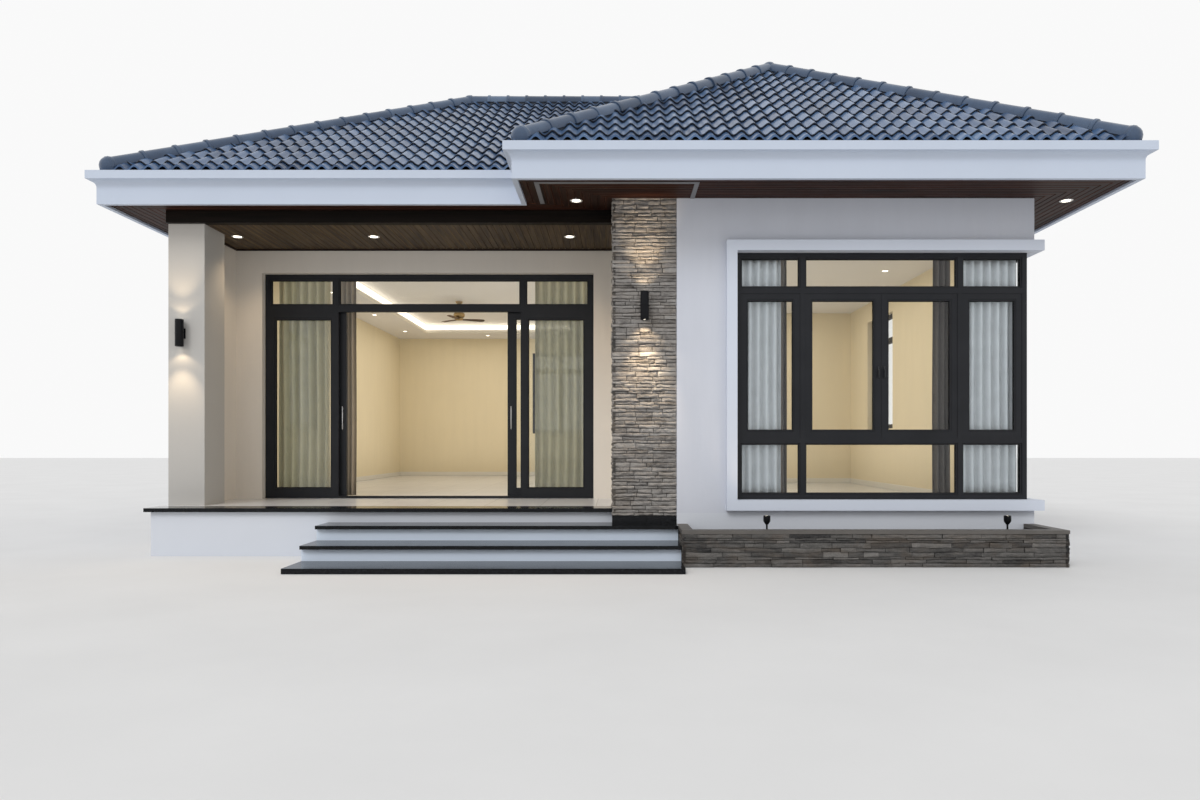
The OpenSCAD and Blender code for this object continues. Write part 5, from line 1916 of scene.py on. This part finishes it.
@dataclass
class Fan:
    """The living room's ceiling fan: a brass motor and three drooped dark blades."""

    blade_w: float = 0.13
    root_w: float = 0.075
    blade_t: float = 0.009
    blade_start: float = 0.052
    tip_gap: float = 0.001
    tip: float = 0.14
    bow: float = 0.006
    twist: float = math.radians(9.0)
    first: float = math.radians(20.0)
    blades: int = 3
    hub_drop: float = 0.024
    motor_h: float = 0.09
    brass: CoatedMetal = CoatedMetal("fan_brass", (0.34, 0.245, 0.12), 0.75, 0.36)
    wood: Timber = Timber("fan_blade_wood", (0.030, 0.018, 0.012), (0.14, 0.085, 0.05), Axis.X)

    def build_mount(self) -> None:
        """Turn the canopy, rod and motor."""
        mount = space("fan_mount")
        r, top, motor = mount.size.x / 2, mount.size.z, self.motor_h
        shape = Shape()
        shape.turned([(0.0, 0.0), (r * 0.7, 0.0), (r * 0.9, 0.010), (r, 0.028),
                      (r, motor - 0.03), (r * 0.86, motor - 0.008), (r * 0.4, motor),
                      (0.024, motor + 0.014), (0.013, motor + 0.02), (0.013, top - 0.05),
                      (0.032, top - 0.046), (0.05, top - 0.03), (0.062, top - 0.006),
                      (0.062, top), (0.0, top)],
                     (mount.middle.x, mount.middle.y, mount.low.z), steps=40)
        shape.finish("fan_motor", self.brass, slot="fan_brass", replaces=["fan_mount"],
                     smooth=40.0)

    def blade(self, shape: Shape, radius: float, place: Matrix, tone: float) -> None:
        """Add one blade.

        Args:
            shape: The shape that takes it.
            radius: Distance of its tip from the fan's axis.
            place: Turn and place of the blade.
            tone: Its tone.
        """
        top = bmesh.ops.create_grid(shape.bm, x_segments=16, y_segments=4, size=0.5)["verts"]
        long = radius - self.blade_start - self.tip_gap
        for vert in top:
            s, t = vert.co.x + 0.5, vert.co.y
            width = self.root_w + (self.blade_w - self.root_w) * min(1.0, s * 1.7)
            round_off = max(0.0, (s - 1.0 + self.tip) / self.tip)
            width *= math.sqrt(max(0.08, 1.0 - round_off ** 2))
            droop = t * width * math.sin(self.twist * (0.6 + 0.4 * s)) * 0.8
            vert.co = (self.blade_start + s * long, t * width,
                       self.bow * (1.0 - 4.0 * t * t) - droop)
        verts = top + shape.thicken(top, (0.0, 0.0, -self.blade_t))
        faces = list({f for v in verts for f in v.link_faces})
        bmesh.ops.recalc_face_normals(shape.bm, faces=faces)
        shape.paint(faces, tone)
        bmesh.ops.transform(shape.bm, matrix=place, verts=verts)

    def build_rotor(self) -> None:
        """Make the hub and blades."""
        mount = space("fan_mount")
        centre = Vector((mount.middle.x, mount.middle.y, mount.low.z - self.hub_drop))
        hub, blades = Shape(), Shape()
        hub.turned([(0.0, -0.018), (0.045, -0.018), (0.064, -0.012), (0.069, 0.0),
                    (0.069, 0.012), (0.058, 0.018), (0.016, 0.018), (0.015, 0.0235),
                    (0.0, 0.0235)], centre, steps=36)
        hub.finish("fan_hub", self.brass, "rotor", "fan_brass", ["fan_rotor"], smooth=40.0)
        for i in range(self.blades):
            turn = Matrix.Rotation(self.first + i * math.tau / self.blades, 4, "Z")
            self.blade(blades, centre.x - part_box("fan_rotor")[0].x,
                       Matrix.Translation(centre) @ turn, 0.2 + 0.3 * i)
        blades.finish("fan_blades", self.wood, "rotor", "fan_wood", ["fan_rotor"], smooth=45.0)

    def build(self) -> None:
        """Build the fan."""
        self.build_mount()
        self.build_rotor()


@dataclass
class Glazing:
    """Bevelled beads and dark gaskets round every pane."""

    bead_w: float = 0.014
    bead_in: float = 0.003
    gasket: float = 0.004
    bevel: float = 0.25
    pane_t: float = 0.024
    metal: CoatedMetal = CoatedMetal("bead_metal", (0.012, 0.013, 0.016), 0.0, 0.36, 0.3)
    rubber: CoatedMetal = CoatedMetal("gasket_rubber", (0.006, 0.006, 0.007), 0.0, 0.7, 0.2)

    def bead(self, node: str, name: str, depth: float, body: str = "root") -> None:
        """Bead every pane of a node.

        Args:
            node: The node that holds the panes.
            name: Name of the beads.
            depth: Depth of the frame that holds the panes.
            body: The body that they move with.
        """
        beads, gaskets = Shape(), Shape()
        for pane in islands(node):
            thin = 0 if pane.size.x < pane.size.y else 1
            rebate = (depth - pane.size[thin]) / 2 - self.bead_in
            for face, out in ((pane.low[thin], -1.0), (pane.high[thin], 1.0)):
                for shape, width, deep in ((beads, self.bead_w, rebate),
                                           (gaskets, self.bead_w + self.gasket, self.gasket)):
                    low, high = pane.low.copy(), pane.high.copy()
                    low[thin], high[thin] = sorted((face, face + out * deep))
                    shape.ring(low, high, thin, width, min(width, abs(deep)) * self.bevel)
        beads.finish(f"{name}_beads", self.metal, body, "black_aluminium")
        gaskets.finish(f"{name}_gaskets", self.rubber, body, "black_aluminium")

    def build(self) -> None:
        """Bead the windows, the door unit and the leaves."""
        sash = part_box("corner_window_sashes")[0].y
        depth = 2 * (islands("corner_window_glass")[0].low.y - sash) + self.pane_t
        self.bead("corner_window_glass", "corner_window", depth)
        self.bead("side_window_glass", "side_window", depth)
        self.bead("door_glass", "door", space("door_frame").size.y)
        for leaf in ("leaf_left", "leaf_right"):
            glass = leaf.replace("leaf", "leaf_glass")
            self.bead(glass, leaf, space(f"door_{leaf}").size.y, leaf)


@dataclass
class Fittings:
    """Casement handles, door pulls and the rails that carry the curtains."""

    lever_t: float = 0.012
    lever_w: float = 0.014
    plate_t: float = 0.010
    bevel: float = 0.003
    post_in: float = 0.035
    rail_r: float = 0.011
    rail_gap: float = 0.002
    dark: CoatedMetal = CoatedMetal("handle_coat", (0.014, 0.015, 0.018), 0.1, 0.34, 0.4)
    steel: CoatedMetal = CoatedMetal("pull_steel", (0.56, 0.56, 0.57), 0.9, 0.28, 0.5, True)
    brass: CoatedMetal = CoatedMetal("rail_bronze", (0.16, 0.12, 0.085), 0.8, 0.38)

    def casement_handles(self) -> None:
        """Make the casements' lever handles."""
        shape = Shape()
        for solid in islands("window_handles"):
            low, high, middle = solid.low, solid.high, solid.middle
            shape.box((low.x, high.y - self.plate_t, low.z), high, self.bevel, segments=2)
            shape.turned([(0.0, 0.0), (0.007, 0.0), (0.0065, 0.014), (0.0, 0.014)],
                         (middle.x, high.y - 0.009, middle.z + 0.018), (0.0, -1.0, 0.0), 18)
            shape.box((middle.x - self.lever_w / 2, low.y, low.z + 0.004),
                      (middle.x + self.lever_w / 2, low.y + self.lever_t, middle.z + 0.028),
                      self.bevel, segments=2)
        shape.finish("casement_handles", self.dark, slot="brushed_metal",
                     replaces=["window_handles"], smooth=40.0)

    def door_pull(self, side: str) -> None:
        """Make one leaf's upright pull on its two posts.

        Args:
            side: The leaf, left or right.
        """
        solid = space(f"handle_{side}")
        r, tall, x = solid.size.x / 2, solid.size.z, solid.middle.x
        y = solid.low.y + r
        reach = solid.high.y - y
        shape = Shape()
        shape.turned([(0.0, 0.0), (r * 0.7, 0.001), (r, 0.004), (r, tall - 0.004),
                      (r * 0.7, tall - 0.001), (0.0, tall)], (x, y, solid.low.z), steps=24)
        for z in (solid.low.z + self.post_in, solid.high.z - self.post_in):
            shape.turned([(0.0, 0.0), (0.0055, 0.0), (0.0055, reach - 0.002), (0.0075, reach),
                          (0.0, reach)], (x, y, z), (0.0, 1.0, 0.0), 16)
        shape.finish(f"door_pull_{side}", self.steel, f"leaf_{side}", "brushed_metal",
                     [f"handle_{side}"], smooth=40.0)

    def rail(self, shape: Shape, start: Vector, end: Vector) -> None:
        """Add one curtain rail with its end knobs.

        Args:
            shape: The shape that takes it.
            start: One end.
            end: The other end.
        """
        along = end - start
        long, r = along.length, self.rail_r
        knob = [(0.0, -0.026), (r * 1.2, -0.022), (r * 1.7, -0.010), (r * 1.2, 0.0)]
        tail = [(q, long - z) for q, z in reversed(knob)]
        shape.turned([*knob, (r, 0.001), (r, long - 0.001), *tail], start, along, 20)

    def curtain_rails(self) -> None:
        """Run the rails along the tops of the drapes."""
        shape = Shape()
        door = space("door_curtains")
        drapes = [s for s in islands("window_curtains") if s.high.z > door.high.z - 0.01]
        z = door.high.z - self.rail_r - self.rail_gap
        for left, right, y in ((door.low.x, door.high.x, door.middle.y),
                               (min(s.low.x for s in drapes), max(s.high.x for s in drapes),
                                drapes[0].middle.y)):
            self.rail(shape, Vector((left, y, z)), Vector((right, y, z)))
        shape.finish("curtain_rails", self.brass, slot="brushed_metal", smooth=40.0)

    def build(self) -> None:
        """Make every fitting."""
        self.casement_handles()
        for side in ("left", "right"):
            self.door_pull(side)
        self.curtain_rails()


@dataclass
class RoomTrim:
    """Skirting round the rooms and the lit cove round the raised ceiling."""

    plan: Plan
    skirting_h: float = 0.08
    skirting_t: float = 0.014
    cove_h: float = 0.085
    cove_t: float = 0.03
    cove_up: float = 0.6
    moulding: float = 0.045
    moulding_h: float = 0.035
    moulding_drop: float = 0.012
    bevel: float = 0.004
    white: Paint = Paint("trim_paint", (0.80, 0.77, 0.70), 0.45)
    strip: Glow = Glow("cove_light", (1.0, 0.90, 0.72), 1.6)

    def skirting(self) -> None:
        """Run the skirting along every room wall."""
        z, t = self.plan.floor_z, self.skirting_t
        left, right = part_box("left_wall")[1].x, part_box("right_wall")[0].x
        rear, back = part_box("rear_wall")[0].y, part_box("back_wall")[0].y
        inner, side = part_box("rear_side_wall")[0].x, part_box("wing_side_wall")[1].x
        front, door_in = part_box("wing_front_wall")[1].y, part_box("porch_wall_left")[1].y
        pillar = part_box("stone_pillar")[1]
        door = space("door_frame")
        shape = Shape()
        for a, b in (((left, door_in), (left + t, rear)),
                     ((left + t, rear - t), (inner, rear)),
                     ((inner - t, back), (inner, rear - t)),
                     ((inner - t, back - t), (right, back)),
                     ((right - t, front), (right, back - t)),
                     ((pillar.x, front), (right - t, front + t)),
                     ((pillar.x, front + t), (pillar.x + t, pillar.y + t)),
                     ((side, pillar.y), (pillar.x, pillar.y + t)),
                     ((side, pillar.y + t), (side + t, door_in + t)),
                     ((door.high.x, door_in), (side, door_in + t)),
                     ((left + t, door_in), (door.low.x, door_in + t))):
            shape.box((*a, z), (*b, z + self.skirting_h), self.bevel)
        shape.finish("skirting", self.white, slot="cream_render")

    def tray(self) -> Space:
        """Find the raised part of the ceiling.

        Returns:
            The space of its flat underside.
        """
        mesh = NODES["room_ceiling"].data
        under = self.plan.ceiling_z + 0.05
        points = [mesh.vertices[i].co for f in mesh.polygons for i in f.vertices
                  if f.normal.z < -0.9 and mesh.vertices[f.vertices[0]].co.z > under]
        return around(points)

    def cove(self) -> None:
        """Line the raised ceiling's sides with a light strip over a moulding."""
        tray, z = self.tray(), self.plan.ceiling_z
        middle = z + self.cove_up * (tray.low.z - z)
        for width, tall, foot, name, finish, slot in (
                (self.cove_t, self.cove_h, middle - self.cove_h / 2, "cove_lights",
                 self.strip, "lamp_lens"),
                (self.moulding, self.moulding_h, z - self.moulding_drop, "cove_moulding",
                 self.white, "ceiling_plaster")):
            shape = Shape()
            shape.ring((*tray.low.xy, foot), (*tray.high.xy, foot + tall), 2, width,
                       self.bevel, segments=2)
            shape.finish(name, finish, slot=slot)

    def build(self) -> None:
        """Fit the skirting and the cove."""
        self.skirting()
        self.cove()


@dataclass
class Valleys:
    """Folded metal troughs under the tiles along the two valleys."""

    plan: Plan
    width: float = 0.15
    thickness: float = 0.002
    lift: float = 0.004
    stop: float = 0.12
    metal: CoatedMetal = CoatedMetal("valley_zinc", (0.10, 0.115, 0.14), 0.6, 0.45)

    def build(self) -> None:
        """Fold both troughs."""
        plan = self.plan
        at, corners = plan.roof_points(), plan.eave.corners
        steep, low = plan.wing_pitch, plan.main_pitch
        shape = Shape()
        for corner, top, wings in (
                (corners[7], at["wing_end"], (((-1, 0, 0), steep), ((0, -1, 0), low))),
                (corners[3], at["rear_start"], (((1, 0, 0), low), ((0, 1, 0), low)))):
            foot = Vector((*corner, plan.eave_z))
            along = (top - foot).normalized()
            start = foot + along * self.stop
            for direction, pitch in wings:
                out = Vector(direction)
                normal = (UP * math.cos(pitch) + out * math.sin(pitch)).normalized()
                across = normal.cross(along).normalized()
                if across.dot(out) > 0:
                    across = -across
                shape.box((0.0, 0.0, self.lift),
                          ((top - start).length, self.width, self.lift + self.thickness),
                          matrix=local_frame(start, along, across, normal))
        bmesh.ops.recalc_face_normals(shape.bm, faces=shape.bm.faces[:])
        shape.finish("valley_troughs", self.metal, slot="roof_tile")


@dataclass
class Studio:
    """Camera, plain light and a pale floor."""

    image_w: float = 1200.0
    image_h: float = 800.0
    focal_px: float = 820.0
    sensor: float = 36.0
    vanishing: tuple[float, float] = (615.0, 445.0)
    camera_at: Point = (0.2025, -12.9375, 1.153)
    floor_colour: Colour = (0.80, 0.80, 0.80)
    surround: tuple[float, float] = (0.72, 0.95)
    sun_power: float = 1.1
    sun_angle: float = 25.0
    sun_turn: Point = (50.0, 0.0, -28.0)
    room_margin: float = 0.6
    room_levels: tuple[float, float] = (0.95, 1.15)
    room_up: float = 0.55
    room_tint: Colour = (1.0, 0.93, 0.82)
    warm_tint: Colour = (1.0, 0.78, 0.52)
    porch_watts: float = 36.0
    pools: tuple[tuple[str, float, float, float, float, float], ...] = (
        ("fan", 0.10, 6.0, 112.0, 4.6, 0.45), ("core", 0.30, 27.0, 58.0, 42.0, 0.9))
    up_share: float = 0.6
    column_share: float = 0.35
    porch_pull: float = 0.12
    window_level: float = 0.18
    window_tint: Colour = (0.86, 0.94, 1.0)
    spot_watts: float = 7.0

    def camera(self) -> None:
        """Set up the camera that matches the photograph."""
        data = bpy.data.cameras.new("camera")
        data.sensor_width = self.sensor
        data.lens = self.focal_px / self.image_w * self.sensor
        data.shift_x = (self.image_w / 2 - self.vanishing[0]) / self.image_w
        data.shift_y = (self.vanishing[1] - self.image_h / 2) / self.image_w
        camera = bpy.data.objects.new("camera", data)
        camera.location = self.camera_at
        camera.rotation_euler = (math.pi / 2, 0.0, 0.0)
        bpy.context.scene.collection.objects.link(camera)
        bpy.context.scene.camera = camera

    def world(self) -> None:
        """Light the scene evenly, with a pale surround in view."""
        graph = Graph(bpy.data.worlds.new("studio"))
        path = graph.add("ShaderNodeLightPath").outputs
        seen = graph.maths("MAXIMUM", path["Is Camera Ray"], path["Is Glossy Ray"])
        clear = graph.maths("MAXIMUM", seen, path["Is Transmission Ray"])
        dim, bright = self.surround
        level = graph.add("ShaderNodeMapRange", {
            "Value": clear, "To Min": dim, "To Max": bright}).outputs[0]
        light = graph.add("ShaderNodeBackground", {
            "Color": (1.0, 1.0, 1.0), "Strength": level}).outputs[0]
        graph.add("ShaderNodeOutputWorld", {"Surface": light})
        bpy.context.scene.world = graph.block

    def place(self, lamp: bpy.types.Light, at: Point, turn: Point) -> None:
        """Put a lamp in the scene, where only its light shows.

        Args:
            lamp: The lamp.
            at: Its place.
            turn: Its turn about each axis, in degrees; unturned, it shines down.
        """
        piece = bpy.data.objects.new(lamp.name, lamp)
        piece.location = at
        piece.rotation_euler = [math.radians(a) for a in turn]
        piece.visible_camera = False
        piece.visible_transmission = False
        piece.visible_glossy = False
        bpy.context.scene.collection.objects.link(piece)

    def panel(self, name: str, size: tuple[float, float], at: Point, turn: Point,
              level: float, tint: Colour) -> None:
        """Add a flat lamp of even brightness.

        Args:
            name: Its name.
            size: Its width and length.
            at: Its place.
            turn: Its turn about each axis, in degrees.
            level: Brightness of its face.
            tint: Its colour.
        """
        lamp = bpy.data.lights.new(name, "AREA")
        lamp.shape = "RECTANGLE"
        lamp.size, lamp.size_y = size
        lamp.energy = math.pi * size[0] * size[1] * level
        lamp.color = tint
        self.place(lamp, at, turn)

    def room_light(self, name: str, low: Point, high: Point, level: float) -> None:
        """Light a room evenly from its ceiling and its floor.

        Args:
            name: The room's name.
            low: Low corner of the lit space.
            high: High corner of the lit space.
            level: Brightness of the ceiling lamp's face.
        """
        size = (high[0] - low[0], high[1] - low[1])
        x, y = (low[0] + high[0]) / 2, (low[1] + high[1]) / 2
        for part, z, turn, share in (("down", high[2], 0.0, 1.0),
                                     ("up", low[2], 180.0, self.room_up)):
            self.panel(f"{name}_{part}", size, (x, y, z), (turn, 0.0, 0.0), level * share,
                       self.room_tint)

    def glow_light(self, name: str, at: Point, tilt: float, power: float, angle: float,
                   size: float = 0.04, blend: float = 0.9) -> None:
        """Add a small warm spot light.

        Args:
            name: Its name.
            at: Its place.
            tilt: Its turn about the axis across the house, in degrees.
            power: Its power in watts.
            angle: Its cone in degrees.
            size: Its radius in metres.
            blend: Softness of the cone's edge, from 0 to 1.
        """
        lamp = bpy.data.lights.new(name, "SPOT")
        lamp.energy = power
        lamp.spot_size = math.radians(angle)
        lamp.spot_blend = blend
        lamp.shadow_soft_size = size
        lamp.color = self.warm_tint
        self.place(lamp, at, (tilt, 0.0, 0.0))

    def key_and_fills(self) -> None:
        """Add a soft key light in front and fills in the rooms."""
        sun = bpy.data.lights.new("key", "SUN")
        sun.energy = self.sun_power
        sun.angle = math.radians(self.sun_angle)
        self.place(sun, (0.0, 0.0, 20.0), self.sun_turn)
        low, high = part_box("room_floor")
        foot, top = high.z + 0.05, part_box("room_ceiling")[0].z - 0.04
        side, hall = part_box("wing_side_wall")[1].x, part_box("rear_side_wall")[0].x
        door_in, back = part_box("door_frame")[1].y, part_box("back_wall")[0].y
        gap = self.room_margin
        living, front = self.room_levels
        self.room_light("living", (low.x + gap, door_in + gap, foot),
                        (hall - gap, high.y - gap, top), living)
        self.room_light("front", (side + gap, low.y + gap, foot),
                        (high.x - gap, back - gap, top), front)

    def own_lamps(self) -> None:
        """Light the house's own lamps: porch, walls and planter."""
        door = space("door_frame")
        for i, lamp in enumerate(islands("downlights")):
            x, y = lamp.middle.xy
            if y < door.low.y:
                x += (door.middle.x - x) * self.porch_pull
                self.glow_light(f"downlight_{i}", (x, y, lamp.low.z - 0.02), 0.0,
                                self.porch_watts, 125.0, 0.12)
        for i, lamp in enumerate(islands("wall_lights")):
            x = lamp.middle.x
            share = self.column_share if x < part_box("stone_pillar")[0].x else 1.0
            for kind, gap, tilt, cone, watts, blend in self.pools:
                for part, z, turn, level in (
                        ("up", lamp.high.z + 0.02, 180.0 - tilt, self.up_share),
                        ("down", lamp.low.z - 0.02, tilt, 1.0)):
                    self.glow_light(f"wall_{kind}_{part}_{i}", (x, lamp.high.y - gap, z), turn,
                                    watts * share * level, cone, 0.02, blend)
        for i, lamp in enumerate(islands("planter_lights")):
            self.glow_light(f"planter_{i}", (*lamp.middle.xy, lamp.high.z + 0.01), 150.0,
                            self.spot_watts, 90.0)

    def window_lights(self) -> None:
        """Give the curtains the daylight that solid panes keep out of a render."""
        for node, gap in (("window_curtains", 0.02), ("door_curtains", 0.05)):
            for i, solid in enumerate(islands(node)):
                size, (x, y, z) = solid.size, solid.middle
                if size.y > size.x:
                    wide, at, turn = size.y, (solid.high.x + gap, y, z), 90.0
                else:
                    wide, at, turn = size.x, (x, solid.low.y - gap, z), 0.0
                self.panel(f"{node}_day_{i}", (wide, size.z), at, (90.0, 0.0, turn),
                           self.window_level, self.window_tint)

    def floor(self) -> None:
        """Lay the pale floor."""
        shape = Shape()
        bmesh.ops.create_grid(shape.bm, x_segments=1, y_segments=1, size=60.0)
        bmesh.ops.translate(shape.bm, verts=shape.bm.verts[:], vec=(0.0, 0.0, -0.001))
        piece = shape.finish("studio_floor", Paint("studio_floor", self.floor_colour, 0.9))

    def build(self) -> None:
        """Set up the whole studio."""
        self.camera()
        self.world()
        self.key_and_fills()
        self.own_lamps()
        self.window_lights()
        self.floor()
        bpy.context.scene.view_settings.view_transform = "Standard"


@dataclass
class Shell:
    """The finishes of the walls, slabs, steps, frames and panes that the model gives."""

    walls: WallPaint
    # The column is white; its grey-beige is painted shade from the eaves and painted warm
    # lamplight.
    column: Paint = Paint("column_paint_with_painted_shade", (0.50, 0.485, 0.46), 0.7)
    # Fascia, surround, riser and plinth are white; their blue-grey cast is painted cool sky light.
    fascia: Paint = Paint("fascia_paint_with_sky_light", (0.57, 0.635, 0.75))
    surround: Paint = Paint("surround_paint_with_sky_light", (0.67, 0.72, 0.82))
    riser: Paint = Paint("riser_paint_with_sky_light", (0.71, 0.80, 0.93))
    plinth: Paint = Paint("plinth_paint_with_sky_light", (0.66, 0.69, 0.75), 0.7)
    ceiling: Paint = Paint("ceiling_paint", (0.74, 0.72, 0.70), 0.6)
    concrete: Slab = Slab("eave_concrete", (0.42, 0.42, 0.40))
    coping: Slab = Slab("coping_stone", (0.125, 0.115, 0.105), 0.6)
    granite: Granite = Granite("black_granite")
    tiles: FloorTile = FloorTile("floor_tile")
    beam: Timber = Timber(
        "beam_stain", (0.004, 0.003, 0.002), (0.020, 0.011, 0.008), Axis.X, 0.5, 0.0, 0.12)
    metal: CoatedMetal = CoatedMetal("dark_aluminium", (0.010, 0.011, 0.014), 0.0, 0.42, 0.25)
    glass: Glass = Glass("window_glass")

    def build(self) -> None:
        """Dress every node that keeps its own shape."""
        dress(self.walls, "left_wall", "rear_wall", "rear_side_wall", "back_wall", "right_wall",
              "wing_front_wall", "wing_side_wall", "porch_wall_left", "porch_wall_right",
              "porch_wall_over")
        dress(self.column, "left_column")
        dress(self.fascia, "fascia")
        dress(self.surround, "window_surround")
        dress(self.riser, "step_core")
        dress(self.plinth, "foundation")
        dress(self.ceiling, "room_ceiling")
        dress(self.concrete, "eave_slab")
        dress(self.coping, "planter_coping")
        dress(self.granite, "bottom_step", "lower_tread", "upper_tread", "porch_edge",
              "pillar_plinth")
        dress(self.tiles, "porch_floor", "room_floor")
        dress(self.beam, "porch_beam")
        dress(self.metal, "corner_window_frame", "corner_window_sashes", "side_window_frames",
              "door_frame", "door_side_panels", "door_track", "door_leaf_left",
              "door_leaf_right")
        dress(self.glass, "corner_window_glass", "side_window_glass", "door_glass",
              "leaf_glass_left", "leaf_glass_right")


def write_sizes() -> None:
    """Update the view layer."""
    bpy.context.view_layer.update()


def main() -> None:
    """Build every piece of the house in order."""
    logging.basicConfig(level=logging.INFO, format="%(name)s %(message)s")
    plan = Plan()
    walls = plan.wall_paint()
    for part in (Studio(), Shell(walls), TileRoof(plan), Valleys(plan), RoofCaps(plan),
                 Soffit(plan), PorchCeiling(), Stonework(walls), Curtains(), Glazing(),
                 Fittings(), RoomTrim(plan), Lamps(), Fan()):
        part.build()
    write_sizes()


if __name__ == "__main__":
    main()
